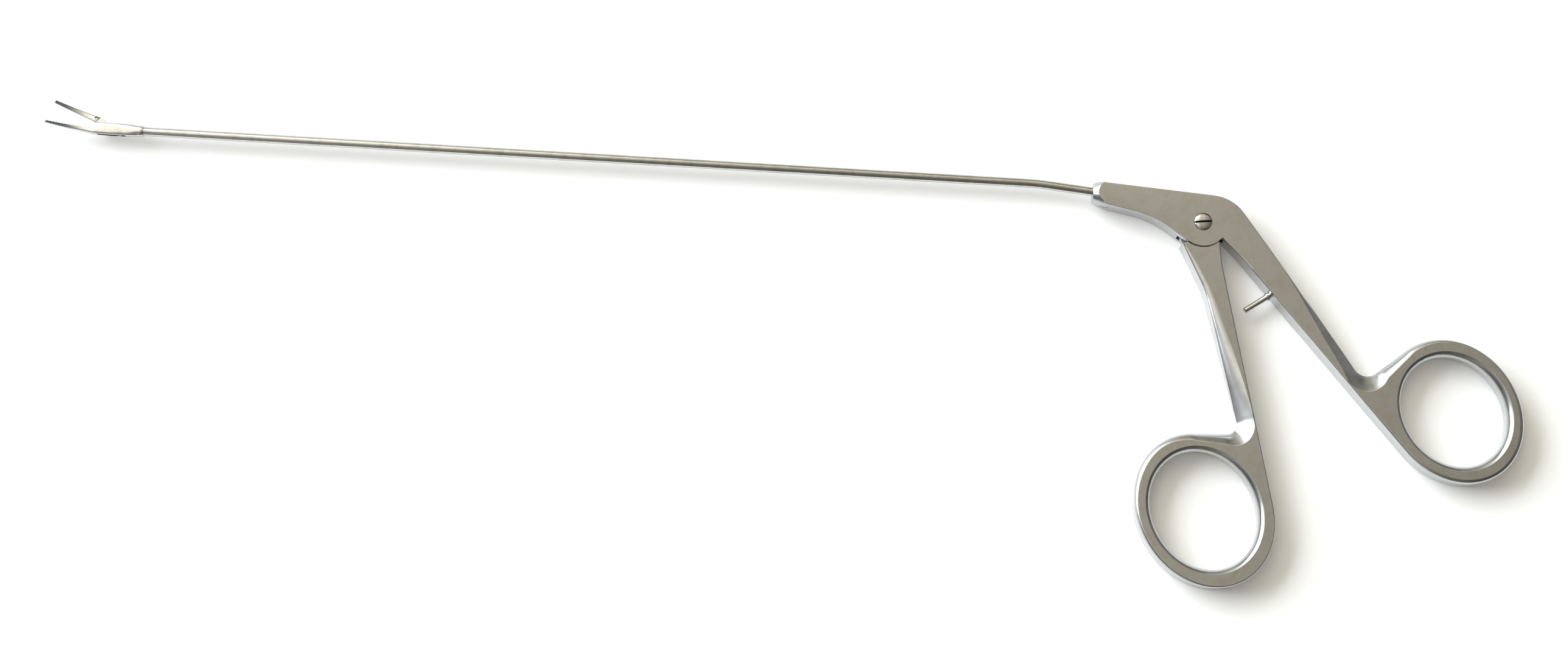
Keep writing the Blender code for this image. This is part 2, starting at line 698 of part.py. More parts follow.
def pivot_screw():
    """Cheese head with a low crown and a slot; its end is blind in the far cheek."""
    top = HANDLE_THICKNESS
    floor = top - SCREW_HEAD_SUNK
    end = SCREW_FLOOR + 2 * SEAT_GAP
    profile = [(end, SCREW_SHANK_RADIUS - 0.15), (end + 0.15, SCREW_SHANK_RADIUS),
               (floor, SCREW_SHANK_RADIUS), (floor, SCREW_HEAD_RADIUS), (top - 0.05, SCREW_HEAD_RADIUS)]
    crown_radius = (SCREW_HEAD_RADIUS ** 2 + SCREW_CROWN ** 2) / (2 * SCREW_CROWN)
    for i in range(1, 5):
        r = SCREW_HEAD_RADIUS * (1 - i / 5) ** 0.8
        z = top - 0.05 + math.sqrt(crown_radius ** 2 - r * r) - (crown_radius - SCREW_CROWN)
        profile.append((z, r))
    screw = turned("pivot_screw", profile, (0, 0, 0), (0, 0, 1), 40)
    turn = Matrix.Rotation(math.radians(SCREW_SLOT_TURN), 4, 'Z')
    half = SCREW_SLOT_WIDTH / 2
    low = top + SCREW_CROWN - 0.05 - SCREW_SLOT_DEPTH
    slot = prism("slot", [(-3, -half), (3, -half), (3, half), (-3, half)], low, top + 2.0)
    slot.data.transform(turn)
    return tidy(cut(screw, slot))


def stop_pin_frame():
    """The stop pin's root on the arm's inner edge, and the way it points."""
    a = math.radians(-REAR_INNER_SLOPE)
    along = Vector((math.cos(a), math.sin(a), 0.0))
    root = Vector((REAR_INNER_X, 0.0, MID_Z)) + along * STOP_PIN_STATION
    turn = math.radians(STOP_PIN_TURN)
    return root, Vector((math.cos(turn), math.sin(turn), 0.0))


def stop_pin_hole():
    root, way = stop_pin_frame()
    return rod("stop_pin_hole", root - way * (STOP_PIN_ROOT + SEAT_GAP), way,
               STOP_PIN_RADIUS + SEAT_GAP, STOP_PIN_ROOT + 2.0, 24)


def stop_pin():
    """A turned peg with a collar, pressed into the rear arm's inner edge."""
    root, way = stop_pin_frame()
    start = SEAT_GAP + STOP_PIN_RADIUS * 0.55
    profile = [(-STOP_PIN_ROOT, STOP_PIN_RADIUS), (start, STOP_PIN_RADIUS), (start, STOP_COLLAR_RADIUS),
               (start + STOP_COLLAR_LENGTH, STOP_COLLAR_RADIUS), (start + STOP_COLLAR_LENGTH, STOP_PIN_RADIUS),
               (STOP_PIN_REACH - 0.15, STOP_PIN_RADIUS), (STOP_PIN_REACH, STOP_PIN_RADIUS - 0.15)]
    return turned("stop_pin", profile, root, way, 24)


def set_pin_root():
    """The set pin crosses the nose from its narrow lower edge to the tube."""
    tube = Vector((SET_PIN_X, tube_line(SET_PIN_X), MID_Z))
    way = tube_heading()
    up = Vector((-way.y, way.x, 0.0))
    end = tube - up * (TUBE_OUTER_RADIUS + SEAT_GAP)
    lower = LOWER_EDGE_NOSE_Y - (SET_PIN_X - NOSE_X) * math.tan(math.radians(LOWER_EDGE_NOSE_SLOPE))
    length = end.y - lower
    return end, up, length


def set_pin_hole():
    end, up, length = set_pin_root()
    return rod("set_pin_hole", end + up * 0.4, -up, SET_PIN_RADIUS + SEAT_GAP, length + 2.0, 24)


def tube_set_pin():
    """A plug that locks the tube, filed flush with the body's lower edge."""
    end, up, length = set_pin_root()
    short = length - 0.12
    profile = [(SEAT_GAP, SET_PIN_RADIUS - 0.1), (SEAT_GAP + 0.1, SET_PIN_RADIUS), (short - 0.1, SET_PIN_RADIUS),
               (short, SET_PIN_RADIUS - 0.1)]
    return turned("tube_set_pin", profile, end, -up, 24)


def shaft_tube():
    """The thin tube, bent just ahead of the handle, open at both ends."""
    way = tube_heading()
    end_x = NOSE_X + TUBE_SEAT_IN_HANDLE * way.x
    path = axis_path(TUBE_JAW_END_X, end_x)
    outer = swept("shaft_tube", path, TUBE_OUTER_RADIUS, 24)
    longer = [(path[0][0] - 1.0, path[0][1])] + path[1:-1] + [(end_x + 1.0, tube_line(end_x + 1.0))]
    return cut(outer, swept("bore", longer, TUBE_BORE_RADIUS, 20))


def drive_rod():
    """The rod in the tube, flattened to a blade with an eye at the jaws."""
    barrel = barrel_place()
    way = tube_heading()
    tail = barrel + way * (BARREL_RADIUS + ROD_TAIL)
    path = axis_path(TUBE_JAW_END_X - 0.6, tail.x)
    made = swept("drive_rod", path, ROD_RADIUS, 16)
    pin = drive_pin_place()
    low = MID_Z + SIDE_GAP / 2
    start = TUBE_JAW_END_X + 0.4
    eye = []
    radius = DRIVE_PIN_RADIUS + 0.3
    for i in range(15):
        a = math.radians(35.0 + 250.0 * i / 14)
        eye.append((pin.x + radius * math.cos(a), pin.y + radius * math.sin(a)))
    outline = eye + [(start - 1.3, TUBE_Y - 0.1), (start, TUBE_Y - 0.25), (start, TUBE_Y + 0.32),
                     (start - 1.0, TUBE_Y + 0.4)]
    blade = prism("blade", outline, low, low + BLADE_THICKNESS)
    join(made, blade)
    cut(made, rod("pin_hole", (pin.x, pin.y, 0.0), (0, 0, 1), DRIVE_PIN_RADIUS + SEAT_GAP,
                  HANDLE_THICKNESS, 20))
    return tidy(made)


def drive_pin_place():
    """The drive pin, above the jaw's pivot, half its swing back when open."""
    lean = math.radians(JAW_OPEN_ANGLE / 2)
    return Vector((JAW_PIVOT.x + JAW_LEVER * math.sin(lean), JAW_PIVOT.y + JAW_LEVER * math.cos(lean)))


def rod_barrel():
    """The cross barrel on the rod's tail, which rides in the tang's notch."""
    place = barrel_place()
    half = TANG_THICKNESS / 2
    barrel = turned("rod_barrel", [(-half, BARREL_RADIUS - 0.08), (-half + 0.08, BARREL_RADIUS),
                                   (half - 0.08, BARREL_RADIUS), (half, BARREL_RADIUS - 0.08)],
                    (place.x, place.y, MID_Z), (0, 0, 1), 24)
    way = tube_heading()
    hole = rod("hole", Vector((place.x, place.y, MID_Z)) - way * 2.0, way, ROD_RADIUS + SEAT_GAP, 4.0, 16)
    return tidy(cut(barrel, hole))


def bite_y(x):
    """The line where the closed jaws meet, which climbs towards the tips."""
    return TUBE_Y + BITE_RISE + (BITE_X - x) * math.tan(math.radians(BITE_SLOPE))


def jaw_share(x):
    return (JAW_ROOT_X - x) / (JAW_ROOT_X - JAW_TIP_X)


def jaw_section(x, root_height, side, lean=0.0):
    """One section of a jaw: flat at the bite and rounded along its back."""
    share = max(jaw_share(x), 0.0)
    height = root_height + (JAW_TIP_HEIGHT - root_height) * share
    half = JAW_ROOT_HALF_WIDTH + (JAW_TIP_HALF_WIDTH - JAW_ROOT_HALF_WIDTH) * share
    middle = MID_Z + JAW_CURVE * share * share
    over = TOOTH_DEPTH / 2
    rows = [(-over, 1.0), (0.55 * height, 1.0), (0.8 * height, 0.9), (0.95 * height, 0.66), (height, 0.35)]
    loop = []
    for away, width in rows:
        loop.append((x + lean * (away + over), bite_y(x) + side * away, middle - half * width))
    for away, width in reversed(rows):
        loop.append((x + lean * (away + over), bite_y(x) + side * away, middle + half * width))
    return loop


def jaw_bar(name, start, root_height, side, lean=0.0):
    stations = [start]
    count = 14
    for i in range(1, count + 1):
        stations.append(start + (JAW_TIP_X - start) * i / count)
    loops = [jaw_section(x, root_height, side, lean * (1 - i / count)) for i, x in enumerate(stations)]
    return loft(name, loops)


def tooth_comb(side):
    """A cutter whose edge is the zigzag of the teeth, on one side of the bite."""
    turn = math.radians(180.0 - BITE_SLOPE)
    along = Vector((math.cos(turn), math.sin(turn)))
    away = Vector((-along.y, along.x)) * -1.0
    start_x = JAW_ROOT_X - 0.8 * TOOTH_PITCH
    first = Vector((start_x, bite_y(start_x)))
    count = int((JAW_ROOT_X - JAW_TIP_X) / TOOTH_PITCH)
    points = []
    for i in range(2 * count + 3):
        depth = TOOTH_DEPTH / 2 * (1 if i % 2 else -1)
        points.append(first + along * (i * TOOTH_PITCH / 2) + away * depth)
    start = points[0] - along * 0.02
    points = [start + away * (side * 2.5)] + [start] + points[1:]
    points += [points[-1] + away * (side * 2.5)]
    return prism("tooth_comb", [(p.x, p.y) for p in points], MID_Z - 3.0, MID_Z + JAW_CURVE + 3.0)


def tip_notch(root_height, side):
    """The small bite out of a jaw's end that leaves two points."""
    middle = bite_y(JAW_TIP_X) + side * 0.5 * JAW_TIP_HEIGHT
    depth = 0.55 * JAW_TIP_HEIGHT
    half = 0.3 * JAW_TIP_HEIGHT
    outline = [(JAW_TIP_X - 1.0, middle - 2 * half), (JAW_TIP_X, middle - half), (JAW_TIP_X + depth, middle),
               (JAW_TIP_X, middle + half), (JAW_TIP_X - 1.0, middle + 2 * half)]
    return prism("tip_notch", outline, MID_Z - 3.0, MID_Z + JAW_CURVE + 3.0)


def slot_sides():
    low = MID_Z - 1.5 * SIDE_GAP - JAW_TANG_THICKNESS
    high = MID_Z + 1.5 * SIDE_GAP + BLADE_THICKNESS
    return low, high


def housing_section(x, middle, half_height, half_width, power, sides=24):
    loop = []
    for i in range(sides):
        a = 2 * math.pi * (i + 0.5) / sides
        c, s = math.cos(a), math.sin(a)
        y = middle + half_height * math.copysign(abs(s) ** (2 / power), s)
        z = MID_Z + half_width * math.copysign(abs(c) ** (2 / power), c)
        loop.append((x, y, z))
    return loop


def jaw_housing():
    """The forked end piece on the tube, with the fixed jaw in one piece."""
    start = HOUSING_START_X
    neck = HOUSING_NECK_RADIUS
    tall = HOUSING_HALF_HEIGHT
    wide = HOUSING_HALF_WIDTH
    pivot = JAW_PIVOT_X
    root = JAW_ROOT_X
    body = loft("jaw_housing", [
        housing_section(start, TUBE_Y, neck - 0.12, neck - 0.12, 2.0),
        housing_section(start - 0.3, TUBE_Y, neck, neck, 2.0),
        housing_section(start - HOUSING_TAPER, TUBE_Y, tall, 0.5 * (neck + wide), 2.3),
        housing_section(pivot + 1.4, TUBE_Y + 0.02, tall, wide, 3.2),
        housing_section(pivot - 1.4, TUBE_Y + 0.05, tall, wide, 4.5),
        housing_section(root + 1.9, TUBE_Y + 0.05, tall - 0.04, wide, 4.5),
        housing_section(root - 0.3, TUBE_Y + 0.03, tall - 0.19, JAW_ROOT_HALF_WIDTH + 0.02, 4.5),
    ])
    join(body, jaw_bar("fixed_jaw", root + TOOTH_PITCH, FIXED_JAW_ROOT_HEIGHT, -1))
    level = TOOTH_DEPTH / 2
    sky = TUBE_Y + 3.0 * tall
    heel = root + 0.1
    tip = JAW_TIP_X - 2.0
    mouth = [(heel + 0.75, sky), (heel + 0.75, TUBE_Y + tall), (heel, bite_y(heel) + level),
             (tip, bite_y(tip) + level), (tip, sky + 4.0)]
    cut(body, prism("mouth", mouth, -2.0, HANDLE_THICKNESS + 4.0))
    cut(body, tooth_comb(1), tip_notch(FIXED_JAW_ROOT_HEIGHT, -1))
    low, high = slot_sides()
    back = TUBE_JAW_END_X - 0.7
    floor = TUBE_Y - 2.5 * tall
    way = [(back, floor), (back, sky), (root - 1.5, sky), (root - 1.5, bite_y(root - 1.5) + level + 0.01),
           (heel, bite_y(heel) + level + 0.01), (root + 1.15, bite_y(heel) - 0.3), (root + 1.15, floor)]
    cut(body, prism("jaw_slot", way, low, high))
    cut(body, rod("socket", (start + 1.0, TUBE_Y, MID_Z), (-1, 0, 0), TUBE_OUTER_RADIUS + SEAT_GAP,
                  start + 1.0 - TUBE_JAW_END_X + SEAT_GAP, 32))
    cut(body, rod("rod_channel", (start, TUBE_Y, MID_Z), (-1, 0, 0), TUBE_BORE_RADIUS + 0.05,
                  start - back + 0.2, 24))
    cut(body, rod("pin_hole", (JAW_PIVOT.x, JAW_PIVOT.y, -1.0), (0, 0, 1), JAW_PIN_RADIUS + SEAT_GAP,
                  HANDLE_THICKNESS + 2.0, 24))
    return tidy(body, 0.001)


def moving_jaw():
    """The serrated upper jaw and its tang, built shut and then swung open."""
    lean = 0.6
    bar = jaw_bar("moving_jaw", JAW_ROOT_X - TOOTH_PITCH, JAW_ROOT_HEIGHT, 1, lean)
    low, high = slot_sides()
    low += SIDE_GAP
    high = low + JAW_TANG_THICKNESS
    half_swing = math.radians(JAW_OPEN_ANGLE / 2)
    eye = Vector((JAW_PIVOT.x - JAW_LEVER * math.sin(half_swing), JAW_PIVOT.y + JAW_LEVER * math.cos(half_swing)))
    knuckle = 0.62
    lobe = 0.58
    px, py = JAW_PIVOT
    top = TUBE_Y + HOUSING_HALF_HEIGHT - 0.1
    heel = JAW_ROOT_X + 1.5
    outline = arc(px, py, knuckle, -150.0, 0.0, 10)
    outline += arc(eye.x, eye.y, lobe, -10.0, 150.0, 10)
    outline += [(heel + 0.6, top - 0.75), (heel + 0.4, top - 0.3), (heel, top),
                (JAW_ROOT_X + 0.2, top), (JAW_ROOT_X - 1.6 * TOOTH_PITCH, top - 0.25),
                (JAW_ROOT_X - 1.6 * TOOTH_PITCH, bite_y(JAW_ROOT_X) + 0.4),
                (JAW_ROOT_X, bite_y(JAW_ROOT_X) + 0.25)]
    join(bar, prism("tang", outline, low, high))
    cut(bar, tooth_comb(-1), tip_notch(JAW_ROOT_HEIGHT, 1))
    cut(bar, rod("pin_hole", (px, py, -1.0), (0, 0, 1), JAW_PIN_RADIUS + RUNNING_GAP, HANDLE_THICKNESS, 24))
    up = (eye - JAW_PIVOT).normalized()
    side = Vector((up.y, -up.x))
    half = DRIVE_PIN_RADIUS + BARREL_WALL_GAP
    slot = []
    for i in range(9):
        a = math.pi * i / 8
        slot.append(eye + up * 0.08 + side * (half * math.cos(a)) + up * (half * math.sin(a)))
    for i in range(9):
        a = math.pi + math.pi * i / 8
        slot.append(eye - up * 0.12 + side * (half * math.cos(a)) + up * (half * math.sin(a)))
    cut(bar, prism("drive_slot", [(p.x, p.y) for p in slot], low - 1.0, high + 1.0))
    tidy(bar, 0.001)
    swing = Matrix.Translation((px, py, 0)) @ Matrix.Rotation(-math.radians(JAW_OPEN_ANGLE), 4, 'Z')
    bar.data.transform(swing @ Matrix.Translation((-px, -py, 0)))
    return bar


def jaw_pin():
    """The hinge pin through both cheeks of the housing, ends flush."""
    half = HOUSING_HALF_WIDTH - 0.03
    profile = [(-half, JAW_PIN_RADIUS), (half, JAW_PIN_RADIUS)]
    return turned("jaw_pin", profile, (JAW_PIVOT.x, JAW_PIVOT.y, MID_Z), (0, 0, 1), 20)


def jaw_drive_pin():
    """The short pin in the blade's eye that swings the jaw."""
    place = drive_pin_place()
    low, high = slot_sides()
    start = low + SIDE_GAP + 0.04
    end = high - SIDE_GAP - 0.02
    return rod("jaw_drive_pin", (place.x, place.y, start), (0, 0, 1), DRIVE_PIN_RADIUS, end - start, 20)


def main():
    clear_scene()
    satin = material("satin_steel", (0.46, 0.43, 0.37), 0.34)
    bright = material("polished_steel", (0.62, 0.61, 0.58), 0.22)
    tube_look = material("drawn_steel", (0.52, 0.50, 0.46), 0.28)
    jaw_look = material("fine_ground_steel", (0.55, 0.55, 0.53), 0.3)
    handle_axis = holder_at("handle_axis", 0.0, 0.0, MID_Z)
    rod_guide = holder_at("rod_guide", barrel_place().x, barrel_place().y, MID_Z)
    jaw_axis = holder_at("jaw_axis", JAW_PIVOT.x, JAW_PIVOT.y, MID_Z)
    finish(rear_handle(), satin)
    finish(front_handle(), satin, handle_axis)
    finish(pivot_screw(), bright)
    finish(stop_pin(), bright)
    finish(shaft_tube(), tube_look)
    finish(tube_set_pin(), satin)
    finish(jaw_housing(), jaw_look)
    finish(jaw_pin(), bright)
    finish(moving_jaw(), jaw_look, jaw_axis)
    finish(drive_rod(), tube_look, rod_guide)
    finish(rod_barrel(), bright, rod_guide)
    finish(jaw_drive_pin(), bright, rod_guide)


main()
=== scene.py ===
from math import radians

import bmesh
import bpy
import numpy as np
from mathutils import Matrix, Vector
from mathutils.geometry import tessellate_polygon


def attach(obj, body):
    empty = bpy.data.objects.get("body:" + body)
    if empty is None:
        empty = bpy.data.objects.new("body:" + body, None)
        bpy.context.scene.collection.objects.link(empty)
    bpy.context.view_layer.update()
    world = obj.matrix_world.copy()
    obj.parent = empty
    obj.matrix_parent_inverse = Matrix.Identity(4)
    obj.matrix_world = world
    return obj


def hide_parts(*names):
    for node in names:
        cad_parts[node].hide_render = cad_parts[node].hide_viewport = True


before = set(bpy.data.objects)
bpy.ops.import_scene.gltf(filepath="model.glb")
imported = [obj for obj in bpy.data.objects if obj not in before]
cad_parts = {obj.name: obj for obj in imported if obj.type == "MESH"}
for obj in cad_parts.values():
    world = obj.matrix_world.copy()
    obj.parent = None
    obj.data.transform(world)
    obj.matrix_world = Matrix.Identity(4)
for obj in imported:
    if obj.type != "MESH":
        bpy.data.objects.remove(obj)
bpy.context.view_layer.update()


# --- rear handle: the fixed scissor arm with its ring, one stainless forging, milled, then
# blasted with fine glass beads, so that its faces are satin and its edges catch the light.
# Plan points are complex numbers in millimetres, x across and y up the picture.
# Lengths are in millimetres. Meshes are made in metres, and MM is one millimetre in them.
MM = 0.001
THICK = 5.5
MID = THICK / 2
STEP = 0.25
EDGE = 0.3
REAR_RING = (55.0 - 38.2j, 16.38, 13.98, -52.0)
REAR_OUTER_FOOT = 10.72
REAR_OUTER_SLOPE = -52.7
REAR_KNEE = 7.80 - 6.6j
REAR_CROTCH_SLOPE = 40.0
REAR_CROTCH_RADIUS = 3.3
REAR_JOIN = 8.0
REAR_LAP = 0.2
RING_WALLS = (4.05, 3.3)
BORE_FLARE = 1.15
BORE_DEPTH = 1.5
BORE_ROUNDNESS = 0.6
RING_INSET = 0.5
# Rims are gridded so: a narrow strip at middle height, a loop of points close beside each bevel
# to hold it firm, and across the bevel points that lie closer at its edges.
MID_STRIP = 0.02
SUPPORT = 0.05
BEVEL_POINTS = np.concatenate([[0.0, 0.03], np.linspace(0.12, 0.88, 7), [0.97, 1.0]])
SMOOTHED_OVER = 11
# In metres: vertices closer than WELD are one, and edges shorter than SLIVER are dropped.
WELD = 2e-6
SLIVER = 1e-7


def turned(degrees):
    """The unit step in a plan direction, as a complex number."""
    return np.exp(1j * radians(degrees))


def crossing(a, way_a, b, way_b):
    """Where the line through a along way_a meets the line through b along way_b."""
    return a + way_a * ((b - a) * way_b.conjugate()).imag / (way_a * way_b.conjugate()).imag


def on_oval(oval, angle):
    """Points of an oval (centre, half length, half width, turn) at its own angles."""
    centre, long, short, turn = oval
    return centre + turned(turn) * (long * np.cos(angle) + 1j * short * np.sin(angle))


def oval_angle(oval, point):
    """The oval's own angle of a plan point: the point is turned and squashed to a circle."""
    centre, long, short, turn = oval
    own = (point - centre) / turned(turn)
    return np.angle(own.real / long + 1j * own.imag / short)


def touching(oval, point, side):
    """The oval's own angle where a line from a point outside just touches it: on the
    squashed circle the touching radius is at acos(1 / distance) from the point."""
    centre, long, short, turn = oval
    own = (point - centre) / turned(turn)
    own = own.real / long + 1j * own.imag / short
    return np.angle(own) + side * np.arccos(1.0 / abs(own))


def facing(oval, way):
    """The oval's own angle where its side faces along a plan direction."""
    centre, long, short, turn = oval
    own = way / turned(turn)
    return np.angle(long * own.real + 1j * short * own.imag)


def round_arc(oval, start, end):
    """The oval's points from one of its angles on to the next, counter-clockwise."""
    end = end + 2 * np.pi * np.ceil((start - end) / (2 * np.pi))
    return on_oval(oval, np.linspace(start, end, 400))


def fillet(before, corner, after, radius):
    """A circle's arc that leaves the side towards before and joins the side towards after,
    touching both: its centre lies radius / sin(half the corner) along the bisector."""
    one = (before - corner) / abs(before - corner)
    two = (after - corner) / abs(after - corner)
    half = abs(np.angle(two / one)) / 2
    reach = radius / np.tan(half)
    centre = corner + (one + two) / abs(one + two) * radius / np.sin(half)
    first = corner + one * reach - centre
    sweep = np.angle((corner + two * reach - centre) / first)
    return centre + first * np.exp(1j * np.linspace(0, sweep, 24))


def edge_run(parts, closed):
    """Joins plan curves end to end with a point every STEP, and carries each curve's edge
    sizes with it. A part is (points, widths, depths, roundness), the last three being
    values spread evenly along its length. The sizes are then smoothed along the run."""
    points, sizes = [], []
    for curve, *values in parts:
        curve = np.asarray(curve, complex)
        far = np.concatenate([[0.0], np.cumsum(abs(np.diff(curve)))])
        count = max(3, int(np.ceil(far[-1] / STEP)))
        at = np.linspace(0, far[-1], count, endpoint=False)
        points.append(np.interp(at, far, curve.real) + 1j * np.interp(at, far, curve.imag))
        sizes.append([np.interp(at / far[-1], np.linspace(0, 1, len(v)), v) for v in values])
    if not closed:
        points.append(np.asarray(parts[-1][0], complex)[-1:])
        sizes.append([[v[-1]] for v in parts[-1][1:]])
    points = np.concatenate(points)
    sizes = np.concatenate([np.array(v, float).reshape(3, -1) for v in sizes], axis=1)
    window = np.hanning(SMOOTHED_OVER)
    window /= window.sum()
    pad = [(0, 0), (SMOOTHED_OVER // 2, SMOOTHED_OVER // 2)]
    sizes = np.pad(sizes, pad, mode="wrap" if closed else "edge")
    sizes = np.stack([np.convolve(row, window, mode="valid") for row in sizes])
    return points, sizes


def edge_band(points, sizes, closed, low=0.0, high=THICK):
    """The rim of a flat piece from low to high as a grid: one row for each plan point, and
    across it the lower face's edge, the lower bevel, the wall, the upper bevel and the upper
    face's edge. The bevel runs from the wall's top, depth under the face, to width inside the
    outline: along a straight line where roundness is 0, and a quarter of an ellipse at 1."""
    if closed:
        way = np.roll(points, -1) - np.roll(points, 1)
    else:
        way = np.gradient(points)
    inward = 1j * way / abs(way)
    width, depth, roundness = (row[:, None] for row in sizes)
    u = BEVEL_POINTS[None, :] + 0 * width
    straight = np.stack([u, 1 - u])
    bowed = np.stack([1 - np.cos(np.pi / 2 * u), 1 - np.sin(np.pi / 2 * u)])
    shape = straight + (bowed - straight) * roundness
    inset = np.concatenate([0 * width, 0 * width, width * shape[0], width + SUPPORT], axis=1)
    height = np.concatenate([0 * depth + (low + high) / 2 + MID_STRIP, high - depth - SUPPORT,
                             high - depth * shape[1], 0 * depth + high], axis=1)
    inset = np.concatenate([inset[:, ::-1], inset], axis=1)
    height = np.concatenate([low + high - height[:, ::-1], height], axis=1)
    plan = points[:, None] + inward[:, None] * inset
    return np.stack([plan.real, plan.imag, height], axis=2)


def forging(rim, bores, closed):
    """Closes a rim and the rims of its holes with two flat faces, and an open rim with one
    flat end. Returns a bmesh in metres."""
    work = bmesh.new()
    loops = []
    for grid, round_loop in [(rim, closed)] + [(bore, True) for bore in bores]:
        rows = [[work.verts.new(p) for p in row] for row in (grid * MM).tolist()]
        turns = len(rows) if round_loop else len(rows) - 1
        for i in range(turns):
            here, there = rows[i], rows[(i + 1) % len(rows)]
            for k in range(len(here) - 1):
                work.faces.new((here[k], there[k], there[k + 1], here[k + 1]))
        loops.append(rows)
    for k in (0, -1):
        ends = [[row[k] for row in rows] for rows in loops]
        flat = [v for loop in ends for v in loop]
        for tri in tessellate_polygon([[v.co for v in loop] for loop in ends]):
            work.faces.new([flat[i] for i in tri])
    if not closed:
        work.faces.new(loops[0][0] + loops[0][-1][::-1])
    bmesh.ops.recalc_face_normals(work, faces=work.faces)
    return work


def finger_hole(oval):
    """The rim of a finger hole: an oval inside the ring's walls, run clockwise so that the
    metal is on the run's left, with both lips rounded out by the flare."""
    centre, long, short, turn = oval
    inner = (centre, long - RING_WALLS[0], short - RING_WALLS[1], turn)
    run = on_oval(inner, np.linspace(2 * np.pi, 0, 320, endpoint=False))
    count = len(run)
    sizes = np.array([[BORE_FLARE] * count, [BORE_DEPTH] * count, [BORE_ROUNDNESS] * count])
    return edge_band(run, sizes, True)


def merged_copy(node):
    """The CAD node's own mesh with its loose triangles merged, as a bmesh."""
    work = bmesh.new()
    work.from_mesh(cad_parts[node].data)
    bmesh.ops.remove_doubles(work, verts=work.verts, dist=WELD)
    bmesh.ops.dissolve_degenerate(work, edges=work.edges, dist=SLIVER)
    return work


def carved(work, others, how="DIFFERENCE"):
    """The bmesh with the other solids taken away from it, or grown into it with UNION."""
    objects = []
    for part in [work] + others:
        mesh = bpy.data.meshes.new("blank")
        part.to_mesh(mesh)
        part.free()
        objects.append(bpy.data.objects.new("blank", mesh))
        bpy.context.scene.collection.objects.link(objects[-1])
    for other in objects[1:]:
        cut = objects[0].modifiers.new("cut", "BOOLEAN")
        cut.operation = how
        cut.solver = "EXACT"
        cut.object = other
    ready = objects[0].evaluated_get(bpy.context.evaluated_depsgraph_get()).to_mesh()
    made = bmesh.new()
    made.from_mesh(ready)
    for thing in objects:
        mesh = thing.data
        bpy.data.objects.remove(thing)
        bpy.data.meshes.remove(mesh)
    return made


def piece(name, works, finish, sharp_above=32.0):
    """Makes one object of one or more bmeshes, shaded smooth wherever two faces meet at
    less than sharp_above degrees, with one material."""
    mesh = bpy.data.meshes.new(name)
    whole = bmesh.new()
    for work in works:
        part = bpy.data.meshes.new("part")
        work.to_mesh(part)
        work.free()
        whole.from_mesh(part)
        bpy.data.meshes.remove(part)
    for face in whole.faces:
        face.smooth = True
        face.material_index = 0
    for edge in whole.edges:
        edge.smooth = edge.calc_face_angle(0.0) < radians(sharp_above)
    whole.to_mesh(mesh)
    whole.free()
    mesh.materials.append(finish)
    made = bpy.data.objects.new(name, mesh)
    bpy.context.scene.collection.objects.link(made)
    even = made.modifiers.new("even_normals", "WEIGHTED_NORMAL")
    even.keep_sharp = True
    return made


def srgb(code):
    """A colour written as an sRGB hex value, turned to the linear values of the shader."""
    part = np.array([int(code[i:i + 2], 16) for i in (1, 3, 5)]) / 255.0
    linear = np.where(part <= 0.04045, part / 12.92, ((part + 0.055) / 1.055) ** 2.4)
    return (*linear.tolist(), 1.0)


def node(tree, kind, settings=(), **links):
    """Adds one node: settings are its properties, and links its inputs by name, each a
    value or another node's output. A link called n2 takes the input numbered 2, and so on."""
    made = tree.nodes.new(kind)
    for key, value in dict(settings).items():
        setattr(made, key, value)
    for key, value in links.items():
        numbered = key[0] == "n" and key[1:].isdigit()
        socket = made.inputs[int(key[1:]) if numbered else key.replace("_", " ")]
        if isinstance(value, bpy.types.NodeSocket):
            tree.links.new(value, socket)
        else:
            socket.default_value = value
    return made


